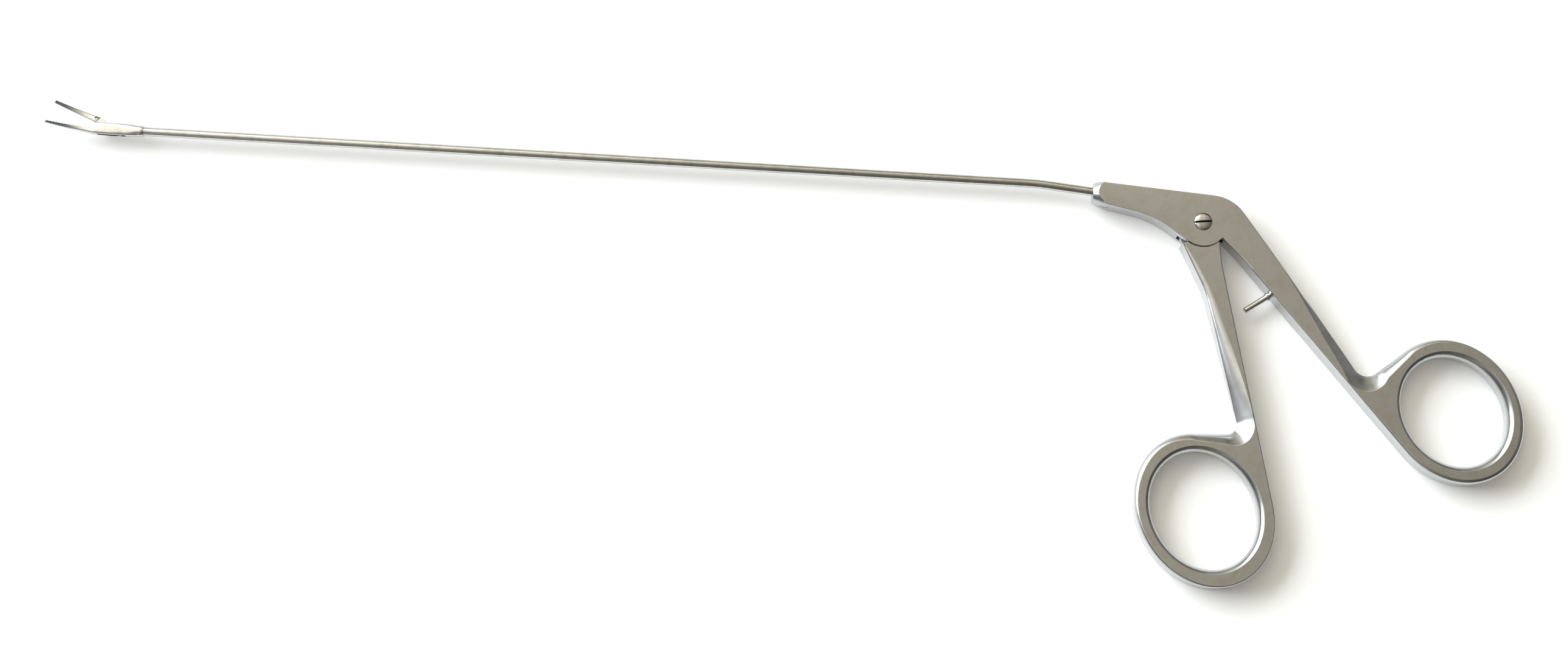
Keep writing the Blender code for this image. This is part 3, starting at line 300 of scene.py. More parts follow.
def metal(name, colour, stain, rough, grain_mm, depth_mm, streak=(1.0, 1.0, 1.0), far=None):
    """A bare steel surface: a fine grain of grain_mm across, depth_mm deep, drawn out by
    streak along x, y or z, slow changes in roughness from handling, and the faint patches
    that drying water leaves, as a second colour where a cloud of noise is thick. far is a
    darker colour painted in from one x to the next. It is painted shade, for jaw tips that
    curve and so mirror darker surroundings."""
    made = bpy.data.materials.new(name)
    made.use_nodes = True
    tree = made.node_tree
    tree.nodes.clear()
    place = node(tree, "ShaderNodeTexCoord").outputs["Object"]
    drawn = node(tree, "ShaderNodeMapping", Vector=place, Scale=streak).outputs[0]
    grain = node(tree, "ShaderNodeTexNoise", Vector=drawn, Scale=1 / MM / grain_mm, Detail=3.0)
    cloud = node(tree, "ShaderNodeTexNoise", Vector=place, Scale=1 / MM / HANDLED_MM, Detail=4.0)
    tone = node(tree, "ShaderNodeMapRange", Value=cloud.outputs[0], n1=0.3, n2=0.7,
                n3=rough - HANDLING, n4=rough + HANDLING)
    patch = node(tree, "ShaderNodeTexNoise", Vector=place, Scale=1 / MM / STAIN_MM, Detail=7.0,
                 Distortion=0.5)
    share = node(tree, "ShaderNodeMapRange", {"interpolation_type": "SMOOTHSTEP"},
                 Value=patch.outputs[0], n1=STAIN_FROM, n2=STAIN_FULL, n3=0.0, n4=1.0)
    tint = node(tree, "ShaderNodeMix", {"data_type": "RGBA"}, Factor=share.outputs[0],
                n6=srgb(colour), n7=srgb(stain))
    shade = tint.outputs[2]
    if far:
        x = node(tree, "ShaderNodeSeparateXYZ", Vector=place).outputs[0]
        fade = node(tree, "ShaderNodeMapRange", {"interpolation_type": "SMOOTHSTEP"}, Value=x,
                    n1=far[1], n2=far[2], n3=0.0, n4=1.0)
        shade = node(tree, "ShaderNodeMix", {"data_type": "RGBA"}, Factor=fade.outputs[0], n6=shade,
                     n7=srgb(far[0])).outputs[2]
    relief = node(tree, "ShaderNodeBump", Height=grain.outputs[0], Distance=depth_mm * MM,
                  Strength=1.0)
    steel = node(tree, "ShaderNodeBsdfPrincipled", Base_Color=shade, Metallic=1.0,
                 Roughness=tone.outputs[0], Normal=relief.outputs[0])
    node(tree, "ShaderNodeOutputMaterial", Surface=steel.outputs[0])
    return made


# How much handling changes the roughness and over what size, and the size of the stains, with
# the noise levels at which one starts and is full.
HANDLING = 0.03
HANDLED_MM = 5.0
STAIN_MM = 2.2
STAIN_FROM = 0.42
STAIN_FULL = 0.7
# Stainless steel blasted with fine glass beads: an even satin that blurs what it mirrors. The
# beads' pits are some 0.05 mm across, and are drawn at 0.25 mm so that they show.
SATIN = metal("stainless_steel_bead_blasted", "#BFC0C2", "#BABAB8", 0.24, 0.25, 0.004)
heading = turned(REAR_OUTER_SLOPE)
foot = REAR_OUTER_FOOT + 0j
join_outer = foot + heading * REAR_JOIN
centre, long, short, turn = REAR_RING
drawn_in = (centre, long - RING_INSET, short - RING_INSET, turn)
inner_way = on_oval(drawn_in, touching(drawn_in, REAR_KNEE, 1)) - REAR_KNEE
join_inner = crossing(join_outer, 1j * heading, REAR_KNEE, inner_way / abs(inner_way))
inner_touch = touching(REAR_RING, join_inner, 1)
crotch_touch = facing(REAR_RING, 1j * turned(REAR_CROTCH_SLOPE))
touch_point = on_oval(REAR_RING, crotch_touch)
crotch = crossing(foot, heading, touch_point, turned(REAR_CROTCH_SLOPE))
bend = fillet(touch_point, crotch, join_outer, REAR_CROTCH_RADIUS)
# Each stretch of the edge: its plan points, then the bevel's widths, depths and roundness as
# they change along it. It runs down the inner side, round the ring and up the outer side.
rear_run = edge_run([
    ([join_inner, on_oval(REAR_RING, inner_touch)],
     [EDGE, 0.25, 0.25, 0.35, 0.6], [EDGE, 0.25, 0.25, 0.35, 0.7], [1.0]),
    (round_arc(REAR_RING, inner_touch, crotch_touch),
     [0.6, 0.8, 0.9, 1.0, 1.2, 1.25, 1.1, 0.8, 0.55, 0.8, 1.3],
     [0.7, 1.0, 1.1, 1.2, 1.3, 1.3, 1.1, 1.0, 0.8, 1.0, 1.4],
     [1.0, 0.8, 0.8, 1.0, 1.0, 0.9, 0.8, 0.8]),
    ([touch_point, bend[0]], [1.35, 2.4], [1.45, 2.0], [0.7, 0.5]),
    (bend, [2.7, 3.6, 3.7, 2.9], [2.1, 2.2, 2.0], [0.4, 0.2, 0.0]),
    ([bend[-1], join_outer],
     [2.85, 2.3, 2.0, 1.5, 1.0, 0.6, EDGE, EDGE],
     [1.9, 1.5, 1.3, 1.0, 0.65, 0.4, EDGE, EDGE],
     [0.0, 0.0, 0.0, 0.0, 0.1, 0.5, 1.0, 1.0])], False)
# The body with its slot and nose is the CAD node's own mesh, cut off just past the join, and
# the arm is grown into it.
body = merged_copy("rear_handle")
lap = (join_outer + heading * REAR_LAP) * MM
bmesh.ops.bisect_plane(body, geom=body.verts[:] + body.edges[:] + body.faces[:], dist=SLIVER,
                       plane_co=(lap.real, lap.imag, 0.0),
                       plane_no=(heading.real, heading.imag, 0.0), clear_outer=True)
bmesh.ops.holes_fill(body, edges=[e for e in body.edges if e.is_boundary], sides=0)
arm = forging(edge_band(*rear_run, False), [finger_hole(REAR_RING)], False)
rear_handle = piece("rear_handle_forging", [carved(body, [arm], "UNION")], SATIN)
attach(rear_handle, "frame")
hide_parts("rear_handle")

# --- front handle: the moving arm and ring, a second forging. Its tang is ground thin to turn
# between the cheeks of the first one.
FRONT_RING = (2.2 - 62.55j, 16.97, 14.32, -60.5)
SHOULDER = -4.3 - 5.1j
WAIST = 0.95 - 15.2j
WAIST_RADIUS = 22.0
FRONT_OUTER_SLOPE = -74.3
FRONT_CROTCH_SLOPE = 3.0
FRONT_CROTCH_RADIUS = 2.2
FRONT_KNEE = 4.25 - 8.7j
ARC_RADIUS = 5.6
ARC_RIGHT = -49.5
ARC_LEFT = -124.8
CORNER_OUT = 1.03
TANG_KEPT = 5.59
heading = turned(FRONT_OUTER_SLOPE)
crotch_touch = facing(FRONT_RING, 1j * turned(FRONT_CROTCH_SLOPE))
touch_point = on_oval(FRONT_RING, crotch_touch)
crotch = crossing(WAIST, heading, touch_point, turned(FRONT_CROTCH_SLOPE))
right_touch = touching(FRONT_RING, FRONT_KNEE, -1)
right_point = on_oval(FRONT_RING, right_touch)
waist = fillet(SHOULDER, WAIST, crotch, WAIST_RADIUS)
bend = fillet(waist[-1], crotch, touch_point, FRONT_CROTCH_RADIUS)
top_right = ARC_RADIUS * turned(ARC_RIGHT)
top_left = ARC_RADIUS * turned(ARC_LEFT)
left = np.concatenate([[SHOULDER], waist, [bend[0]]])
# The outer side's bevel widens and deepens down the arm, by the way from the shoulder.
fall = np.linspace(0.0, 42.0, 60)
left_widths = np.interp(fall, [0, 2, 5, 10, 15, 20, 25, 30, 35, 41],
                        [0.3, 0.6, 1.0, 1.2, 1.55, 1.95, 2.5, 2.9, 3.15, 3.3])
left_depths = np.interp(fall, [0, 5, 10, 15, 20, 25, 30, 35, 41],
                        [0.3, 0.4, 0.45, 0.55, 0.75, 1.05, 1.4, 1.8, 2.3])
cheek = ARC_RADIUS * np.exp(1j * np.linspace(np.angle(top_right), np.angle(top_left), 60))
front_run = edge_run([
    (left, left_widths, left_depths, [0.8, 0.75, 0.7, 0.6, 0.4, 0.2]),
    (bend, [3.35, 3.5, 3.4, 2.5], [2.35, 2.45, 2.3], [0.2, 0.2, 0.4]),
    ([bend[-1], touch_point], [2.5, 1.7], [2.2, 1.6], [0.4, 0.6]),
    (round_arc(FRONT_RING, crotch_touch, right_touch),
     [1.6, 1.0, 0.95, 0.7, 0.6, 0.65, 0.5, 0.3, 0.3, 0.3, 0.35],
     [1.5, 1.1, 1.0, 0.9, 0.8, 0.8, 0.6, 0.4, 0.35, 0.35, 0.4], [0.7, 0.8]),
    ([right_point, FRONT_KNEE], [0.35, 0.3, 0.3, 0.25], [0.4, 0.3, 0.3, 0.25], [0.9]),
    ([FRONT_KNEE, top_right], [0.2], [0.2], [1.0]),
    (cheek, [0.08], [0.08], [1.0]),
    ([top_left, top_left * CORNER_OUT, SHOULDER], [0.12, 0.2, 0.3], [0.12, 0.2, 0.3], [1.0])], True)
# The tang is the CAD node's own mesh, as far out as the arc that clears the body.
tang = merged_copy("front_handle")
outside = [f for f in tang.faces if all(v.co.xy.length > TANG_KEPT * MM for v in f.verts)]
bmesh.ops.delete(tang, geom=outside, context="FACES")
bmesh.ops.holes_fill(tang, edges=[e for e in tang.edges if e.is_boundary], sides=0)
arm = forging(edge_band(*front_run, True), [finger_hole(FRONT_RING)], True)
front_handle = piece("front_handle_forging", [tang, arm], SATIN)
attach(front_handle, "lever")
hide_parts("front_handle")

# --- pivot screw: a cheese head with a low crown and a driver slot, turned from stainless bar,
# polished, and screwed through the body so that the front handle's tang turns on its shank.
# Stainless steel turned and polished: near-mirror highlights with fine rings from the lathe.
POLISHED = metal("stainless_steel_turned_polished", "#C9C8C6", "#BDBCB8", 0.16, 0.2, 0.002)
# The driver slot is left matt as it was sawn, and its colour is painted dark: painted shade in the
# recess.
SLOT_PAINTED_SHADE = metal("stainless_steel_slot_painted_shade", "#55524E", "#3E3B38", 0.5, 0.2, 0.004)
# Heights and radii up the shank and head, then the crown's foot, radius and rise, and the
# driver slot's width, the height of its floor and its turn in plan.
SCREW_PROFILE = ((0.55, 1.1), (0.7, 1.25), (4.75, 1.25), (4.76, 1.9), (5.3, 1.9), (5.38, 1.88))
SCREW_CROWN = (5.40, 1.86, 0.43)
DRIVER_SLOT = (0.46, 4.82, 6.5)
SCREW_SHARP = 26.0
CLEAR_ABOVE = 8.0


def skin(grid, ring=False):
    """A closed skin over a grid of sections in millimetres: each row of the grid runs once
    round the piece, next to the row before it. The first and the last row are closed by flat
    caps, or joined to each other where ring is set. Returns a bmesh in metres."""
    rows, sides = grid.shape[:2]
    index = np.arange(rows * sides).reshape(rows, sides)
    near, far = (index, np.roll(index, -1, axis=0)) if ring else (index[:-1], index[1:])
    faces = np.stack([near, np.roll(near, -1, 1), np.roll(far, -1, 1), far], axis=2)
    faces = faces.reshape(-1, 4).tolist()
    if not ring:
        faces += [index[0][::-1].tolist(), index[-1].tolist()]
    mesh = bpy.data.meshes.new("skin")
    mesh.from_pydata((grid.reshape(-1, 3) * MM).tolist(), [], faces)
    work = bmesh.new()
    work.from_mesh(mesh)
    bpy.data.meshes.remove(mesh)
    bmesh.ops.recalc_face_normals(work, faces=work.faces)
    return work


def slab(outline, low, high):
    """A plan outline drawn up from one height to another, as a closed skin."""
    outline = np.asarray(outline, complex)
    return skin(np.stack([np.stack([outline.real, outline.imag, 0 * outline.real + z], axis=1)
                          for z in (low, high)]))


height, rim, crown = SCREW_CROWN
radius = np.concatenate([np.linspace(rim, 0.3 * rim, 10), [0.1 * rim, 0.02]])
dome = height + crown * np.sqrt(1 - 0.98 * (radius / rim) ** 2)
profile = np.concatenate([SCREW_PROFILE, np.stack([dome, radius], axis=1)])
around = np.linspace(0, 2 * np.pi, 72, endpoint=False)[None, :]
head = np.stack([profile[:, 1:] * np.cos(around), profile[:, 1:] * np.sin(around),
                 profile[:, :1] + 0 * around], axis=2)
wide, floor, angle = DRIVER_SLOT
saw_cut = np.array([-3 - 0.5j * wide, 3 - 0.5j * wide, 3 + 0.5j * wide, -3 + 0.5j * wide])
saw_cut = slab(saw_cut * turned(angle), floor, CLEAR_ABOVE)
screw = piece("pivot_screw_turned", [carved(skin(head), [saw_cut])], POLISHED, SCREW_SHARP)
# Faces in the driver slot take the second material, whose dark colour is painted shade.
screw.data.materials.append(SLOT_PAINTED_SHADE)
for face in screw.data.polygons:
    across = (complex(*face.center.xy) / MM / turned(angle)).imag
    in_painted_slot = face.center.z > floor * MM - 1e-6 and abs(across) < 0.5 * wide + 1e-4
    face.material_index = int(in_painted_slot)
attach(screw, "frame")
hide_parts("pivot_screw")

# --- stop pin: a turned stainless peg with a collar at its root, pressed into the rear arm's
# inner edge. It bars the front arm's way just beyond the point where the jaws are shut.
stop = piece("stop_pin_turned", [merged_copy("stop_pin")], POLISHED)
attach(stop, "frame")
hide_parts("stop_pin")

# --- tube set pin: a plug across the nose that locks the tube, filed flush with the body's
# lower edge and blasted with it.
plug = piece("tube_set_pin_filed", [merged_copy("tube_set_pin")], SATIN)
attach(plug, "frame")
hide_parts("tube_set_pin")

# --- shaft tube: thin drawn tube, bent by five degrees just ahead of the nose, and soldered
# into the nose at one end and into the jaw housing at the other.
TUBE_Y = 6.95
TUBE_RADIUS = 1.0
TUBE_BORE = 0.68
TUBE_JAW_END = -235.5
TUBE_BEND_X = -36.2
TUBE_BEND_ANGLE = 5.04
TUBE_BEND_RADIUS = 55.0
TUBE_BEND_ROOM = 3.5
TUBE_SEAT = 22.3
# Stainless tube, cold drawn: long fine lines along it, so that highlights stay narrow across
# the tube and run on along it. The lines are drawn at 0.2 mm so that they show.
DRAWN = metal("stainless_steel_drawn_tube", "#C8C8C7", "#BCBBB8", 0.12, 0.2, 0.002,
              streak=(0.04, 1.0, 1.0))


def round_bar(path, radius, sides=64):
    """Circles of one radius square to a plan path at the middle height: each point is the
    path's own plus radius times the cosine of its angle to the side and the sine upwards."""
    way = np.gradient(path)
    side = (1j * way / abs(way))[:, None]
    angle = np.linspace(0, 2 * np.pi, sides, endpoint=False)[None, :]
    plan = path[:, None] + side * radius * np.cos(angle)
    return np.stack([plan.real, plan.imag, MID + radius * np.sin(angle) + 0 * plan.real], axis=2)


corner = TUBE_BEND_X + 1j * TUBE_Y
tube_start = TUBE_JAW_END + 1j * TUBE_Y
tube_way = turned(-TUBE_BEND_ANGLE)
tube_end = corner + tube_way * TUBE_SEAT
run = np.concatenate([np.linspace(tube_start, corner - TUBE_BEND_ROOM, 60),
                      fillet(tube_start, corner, tube_end, TUBE_BEND_RADIUS),
                      np.linspace(corner + tube_way * TUBE_BEND_ROOM, tube_end, 10)])
walls = np.concatenate([round_bar(run, TUBE_RADIUS), round_bar(run, TUBE_BORE)[::-1]])
tube = piece("shaft_tube_drawn", [skin(walls, ring=True)], DRAWN)
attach(tube, "frame")
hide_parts("shaft_tube")

# --- jaw housing: the forked end piece soldered on the tube, with the fixed lower jaw in one
# piece. Milled from stainless bar, slotted for the moving jaw and the rod, and ground.
JAW_ROOT = -243.35
JAW_TIP = -253.49
HOUSING_START = -232.0
JAW_PIVOT = -237.6 + 6.25j
JAW_RISE = 1.7
BITE_X = -245.0
BITE_RISE = 0.06
BITE_SLOPE = 5.2
# The fixed jaw's depth at its root and how much less it is at the tip, the length over which the
# tip is blunted, and where the step up to the housing starts and how long it is.
FIXED_DEPTH = (1.1, 0.62)
FIXED_BLUNT = 0.45
HEEL_START = 1.35
HEEL_LENGTH = 1.25
FIRST_TOOTH = JAW_ROOT - 0.2
TOOTH_PITCH = 0.58
TOOTH_DEPTH = 0.16
JAW_SHARP = 28.0
SLOT_LOW = 2.04
SLOT_HIGH = 3.34
SLOT_BACK = -235.9
SLOT_FRONT = -244.85
SOCKET = (-235.55, -231.0)
SOCKET_GAP = 0.01
ROD_WAY = 0.76
ROD_WAY_RUN = (-236.4, -235.0)
# Along the housing, as (place, value) pairs: its upper and lower edge in plan, its half width,
# and how square its upper and lower corners are. The last two are powers of a superellipse.
CROWN = ((-232.0, 8.07), (-232.3, 8.19), (-234.6, 8.33), (-241.4, 8.33), (-244.0, 8.2))
KEEL = ((-232.0, 5.83), (-232.3, 5.71), (-234.6, 5.57), (-238.9, 5.62), (-241.4, 5.66),
        (-243.6, 5.78))
HALF_WIDTH = ((-232.0, 1.12), (-232.3, 1.24), (-234.6, 1.13), (-236.2, 1.02), (-241.4, 1.02),
              (-243.65, 0.94), (JAW_TIP, 0.6))
TOP_SQUARE = ((-232.0, 2.0), (-233.6, 2.05), (-235.6, 3.0), (-239.0, 4.5), (-242.6, 4.5),
              (-244.2, 9.0))
BACK_SQUARE = ((-232.0, 2.0), (-233.6, 2.05), (-235.6, 3.0), (-239.0, 4.5), (-242.6, 4.2),
               (-244.2, 2.7))
# Stainless steel ground on a belt and buffed: bright, with a fine scratch along the jaws. The
# scratches are drawn at 0.12 mm so that they show. Towards the jaw tips the colour is painted
# a darker blue-grey: painted shade, where the curving tips mirror darker surroundings.
GROUND = metal("stainless_steel_ground_buffed", "#CCCCCB", "#C0BFBD", 0.17, 0.12, 0.002,
               streak=(0.12, 1.0, 1.0), far=("#7C8289", -0.2445, -0.2502))


def bite(x):
    """The line in plan where the closed jaws meet, which climbs towards the tips."""
    return TUBE_Y + BITE_RISE + (BITE_X - x) * np.tan(radians(BITE_SLOPE))


def share_out(x):
    """How far out along the jaws x is: 0 at their root and 1 at their tips."""
    return np.clip((JAW_ROOT - x) / (JAW_ROOT - JAW_TIP), 0.0, 1.0)


def teeth(x, first):
    """The zigzag of the teeth about the bite line: a triangle wave of x from first on."""
    turn = np.clip(first - x, 0.0, None) / TOOTH_PITCH + 0.25
    return np.where(x < first, (abs(2 * (turn % 1.0) - 1) - 0.5) * TOOTH_DEPTH, 0.0)


def tip_fade(x, tip, length):
    """How a jaw ends: a share that grows evenly from 0 at the tip to 1 at length behind it,
    and what is left of the section there, as the root of 1 - 0.8 * (1 - share) squared."""
    share = np.clip((x - tip) / length, 0.0, 1.0)
    return share, np.sqrt(1 - 0.8 * (1 - share) ** 2)


def jaw_depth(sizes, out, blunt):
    """From the bite line to a jaw's back: the depth at the root less an even share of what is
    lost by the tip, times 0.55 and 0.45 of what tip_fade leaves of the section."""
    root, lost = sizes
    return (root - lost * out) * (0.55 + 0.45 * blunt)


def smoothed(x, points):
    """Values that run smoothly through (place, value) pairs: straight lines between them,
    each reading being the mean of 21 readings over 0.8 mm."""
    place, value = np.array(points, float).T
    order = np.argsort(place)
    spread = np.linspace(-0.4, 0.4, 21)
    return np.interp(np.add.outer(x, spread), place[order], value[order]).mean(axis=-1)


def sections(x, top, bottom, half, middle, top_power, low_power, over, under, sides=72):
    """A bar along x as a grid of sections, each a superellipse: across it runs as the cosine
    of an angle to the power 2 / n and up it as the sine to the power 2 / n, where n is 2 for
    an ellipse and larger for squarer corners, with one n for the top and one for the back.
    over and under are what the teeth add to the top or take from the bottom."""
    angle = 2 * np.pi * (np.arange(sides) + 0.5) / sides
    cos, sin = np.cos(angle)[None, :], np.sin(angle)[None, :]
    power = 2.0 / np.where(sin > 0, top_power[:, None], low_power[:, None])
    rise = np.sign(sin) * abs(sin) ** power
    y = (top + bottom)[:, None] / 2 + (top - bottom)[:, None] / 2 * rise
    y = y + np.where(sin > 0, over[:, None], under[:, None]) * abs(rise)
    z = middle[:, None] + half[:, None] * np.sign(cos) * abs(cos) ** power
    return np.stack([x[:, None] + 0 * y, y, z], axis=2)


def housing_sizes(x):
    """What sections() needs for the housing and the fixed jaw: top, bottom, half width,
    middle height, squareness of top and back, and what the teeth add to the top and back."""
    out = share_out(x)
    end, blunt = tip_fade(x, JAW_TIP, FIXED_BLUNT)
    heel = np.clip((JAW_ROOT + HEEL_START - x) / HEEL_LENGTH, 0.0, 1.0)
    heel = heel * heel * (3 - 2 * heel)
    crown = smoothed(x, CROWN)
    top = crown + (bite(x) - crown) * heel
    back = bite(x) - jaw_depth(FIXED_DEPTH, out, blunt)
    keel = smoothed(x, KEEL)
    bottom = np.where(x > JAW_ROOT - 0.25, keel, np.minimum(back, keel + 9 * out))
    half = smoothed(x, HALF_WIDTH) * blunt
    return (top, bottom, half, MID + JAW_RISE * out ** 2, smoothed(x, TOP_SQUARE),
            smoothed(x, BACK_SQUARE), teeth(x, FIRST_TOOTH) * end, 0 * x)


body_x = np.linspace(HOUSING_START, FIRST_TOOTH, 90)
tooth_x = np.arange(FIRST_TOOTH, JAW_TIP + 0.02, -TOOTH_PITCH / 8)[1:]
stations = np.concatenate([body_x, tooth_x, [JAW_TIP]])
housing = skin(sections(stations, *housing_sizes(stations)))
below, above = 3.5j, 11j
slot_way = [SLOT_BACK + below, SLOT_BACK + above, SLOT_FRONT + above, SLOT_FRONT + 7.1j,
            JAW_ROOT + 0.1 + 7.0j, JAW_ROOT + 1.15 + 6.6j, JAW_ROOT + 1.15 + below]
socket_run = np.linspace(*SOCKET, 4) + 1j * TUBE_Y
rod_run = np.linspace(*ROD_WAY_RUN, 4) + 1j * TUBE_Y
housing = carved(housing, [slab(slot_way, SLOT_LOW, SLOT_HIGH),
                           skin(round_bar(socket_run, TUBE_RADIUS + SOCKET_GAP, 64)),
                           skin(round_bar(rod_run, ROD_WAY, 48))])
jaw_housing = piece("jaw_housing_ground", [housing], GROUND, JAW_SHARP)
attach(jaw_housing, "frame")
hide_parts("jaw_housing")

# --- jaw pin: the jaw's hinge, a steel pin riveted through both cheeks of the housing and
# ground flush with them, so that only a hair line shows.
PIN_RADIUS = 0.3
PIN_PROUD = 0.008
around = np.linspace(0, 2 * np.pi, 32, endpoint=False)[None, :]
reach = np.array([0.02, 0.12, 0.22, 0.27, 0.29, PIN_RADIUS])[:, None]
pin_plan = JAW_PIVOT + reach * np.exp(1j * around)
sizes = [value.reshape(pin_plan.shape) for value in housing_sizes(pin_plan.real.ravel())]
top, bottom, half, power = sizes[0], sizes[1], sizes[2], sizes[5]
rise = abs((pin_plan.imag - (top + bottom) / 2) / ((top - bottom) / 2))
dome = PIN_PROUD * (1 - (reach / PIN_RADIUS) ** 4)
cheek_z = half * (1 - rise ** power) ** (1 / power) + dome
caps = [np.stack([pin_plan.real, pin_plan.imag, MID + side * cheek_z], axis=2) for side in (1, -1)]
pin = piece("jaw_pin_riveted", [skin(np.concatenate([caps[0], caps[1][::-1]]))], GROUND)
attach(pin, "frame")
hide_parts("jaw_pin")

# --- moving jaw: the serrated upper jaw, ground from stainless, with a thin tang that turns
# between the housing's cheeks. It is drawn shut and then swung open about the jaw pin.
OPEN_ANGLE = 16.0
UPPER_TIP = -252.95
UPPER_START = JAW_ROOT + 0.05
UPPER_DEPTH = (1.34, 0.74)
UPPER_HALF = (0.94, 0.36)
UPPER_BLUNT = 0.5
RUN_OUT = 0.6
TANG_HALF = 0.24
TANG_LOW = 2.14
TANG_HIGH = 2.70
TANG_CREST = 1.28
TANG_EDGE = 0.03
UPPER_LEAN = 0.6
KNUCKLE = 0.62
LOBE = 0.58
HINGE_HOLE = 0.38
# The drive slot's radius, and how far its two ends lie from the eye, outwards and inwards.
DRIVE_SLOT = (0.31, 0.08, -0.12)
DRIVE_EYE = JAW_PIVOT + 1.45 * turned(90.0 + OPEN_ANGLE / 2)


def swung(grid):
    """A grid turned clockwise in plan about the jaw pin by the angle it stands open."""
    plan = (grid[..., 0] + 1j * grid[..., 1] - JAW_PIVOT) * turned(-OPEN_ANGLE) + JAW_PIVOT
    return np.stack([plan.real, plan.imag, grid[..., 2]], axis=-1)


def eased(outline, passes=3):
    """A closed outline with its corners cut: each pass keeps the points a quarter and three
    quarters along every side, which settles on a smooth curve inside the corners."""
    for _ in range(passes):
        after = np.roll(outline, -1)
        outline = np.stack([0.75 * outline + 0.25 * after, 0.25 * outline + 0.75 * after], axis=1)
        outline = outline.ravel()
    return outline


x = np.concatenate([np.linspace(UPPER_START, JAW_ROOT - 0.55, 9),
                    np.arange(FIRST_TOOTH - TOOTH_PITCH * 0.75, UPPER_TIP + 0.02,
                              -TOOTH_PITCH / 8), [UPPER_TIP]])
out = share_out(x)
end, blunt = tip_fade(x, UPPER_TIP, UPPER_BLUNT)
# The jaw is as thin as its tang where it starts, and swells to its full width over the run-out.
run_out = np.clip((UPPER_START - x) / RUN_OUT, 0.0, 1.0)
back = bite(x) + jaw_depth(UPPER_DEPTH, out, blunt)
half = (TANG_HALF + (UPPER_HALF[0] - UPPER_HALF[1] * out - TANG_HALF) * run_out) * blunt
middle = (TANG_LOW + TANG_HIGH) / 2 * (1 - run_out) + (MID + JAW_RISE * out ** 2) * run_out
bar = sections(x, back, bite(x), half, middle, 2.7 + 0 * x, 9.0 + 0 * x, 0 * x,
               teeth(x, FIRST_TOOTH) * end)
bar[..., 0] += UPPER_LEAN * (bar[..., 1] - bite(bar[..., 0])) * (1 - out)[:, None] ** 3
# The tang's outline: round the hinge, round the eye, over the heel and into the jaw.
hook = JAW_PIVOT + KNUCKLE * np.exp(1j * np.linspace(radians(-150), 0, 12))
lobe = DRIVE_EYE + LOBE * np.exp(1j * np.linspace(radians(-10), radians(150), 12))
crest = TUBE_Y + TANG_CREST
heel = [JAW_ROOT + 1.95 + 1j * (crest - 0.75), JAW_ROOT + 1.7 + 1j * (crest - 0.12),
        JAW_ROOT + 0.6 + 1j * (crest + 0.03), JAW_ROOT - 0.9 + 1j * (crest - 0.12),
        JAW_ROOT - 0.9 + 1j * (bite(JAW_ROOT) + 0.4), JAW_ROOT + 1j * (bite(JAW_ROOT) + 0.25)]
outline = eased(np.concatenate([hook, lobe, heel]))
circle = np.exp(1j * np.linspace(2 * np.pi, 0, 40, endpoint=False))
hinge_hole = JAW_PIVOT + HINGE_HOLE * circle
along = (DRIVE_EYE - JAW_PIVOT) / abs(DRIVE_EYE - JAW_PIVOT)
slot_radius, outward, inward = DRIVE_SLOT
drive_slot = (DRIVE_EYE + slot_radius * circle
              + along * np.where((circle / along).real > 0, outward, inward))
rims = []
for loop in (outline, hinge_hole, drive_slot):
    small = np.full((3, len(loop)), [[TANG_EDGE], [TANG_EDGE], [1.0]])
    rims.append(swung(edge_band(loop, small, True, TANG_LOW, TANG_HIGH)))
moving_jaw = piece("moving_jaw_ground", [skin(swung(bar)), forging(rims[0], rims[1:], True)],
                   GROUND, JAW_SHARP)
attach(moving_jaw, "jaw")
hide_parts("moving_jaw")

# --- drive rod: stainless wire that slides in the tube, pushed and pulled by the front handle,
# and flattened at the jaws to a blade with an eye.
drive_rod = piece("drive_rod_drawn", [merged_copy("drive_rod")], DRAWN)
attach(drive_rod, "rod")
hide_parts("drive_rod")

# --- rod barrel: a small turned cross barrel on the rod's tail, which sits in the notch of
# the front handle's tang and turns there as the handle pushes it.
barrel = piece("rod_barrel_turned", [merged_copy("rod_barrel")], POLISHED)
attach(barrel, "rod")
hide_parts("rod_barrel")

# --- jaw drive pin: the short polished steel pin that joins the rod's eye to the moving jaw's
# tang above the hinge, so that the rod pushes the jaw shut and pulls it open.
drive_pin = piece("jaw_drive_pin_turned", [merged_copy("jaw_drive_pin")], POLISHED)
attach(drive_pin, "rod")
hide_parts("jaw_drive_pin")


# --- table top and light: a white table under a broad window on the left, in a room whose
# walls are what the steel mirrors. Lengths here are in metres.
TABLE_HALF = 4.0
TABLE_HEIGHT = -0.0001
TABLE_GLOW = 0.1
ROOM_LEAST = (0.013, 0.0125, 0.012)
ROOM_STRENGTH = 4.0
WINDOW_SIZE = (3.0, 1.8)
WINDOW_WATTS = 195.0
WINDOW_COLOUR = (0.87, 0.935, 1.0)
WINDOW_PLACE = (-2.5, 1.15, 1.45)
WINDOW_AIM = (0.0, -0.01, 0.0)


def plane(name, half, height):
    """A square sheet at one height, from -half to half both ways, facing up."""
    mesh = bpy.data.meshes.new(name)
    mesh.from_pydata([(-half, -half, height), (half, -half, height), (half, half, height),
                      (-half, half, height)], [], [(0, 1, 2, 3)])
    made = bpy.data.objects.new(name, mesh)
    bpy.context.scene.collection.objects.link(made)
    return made


table = plane("table_top", TABLE_HALF, TABLE_HEIGHT)
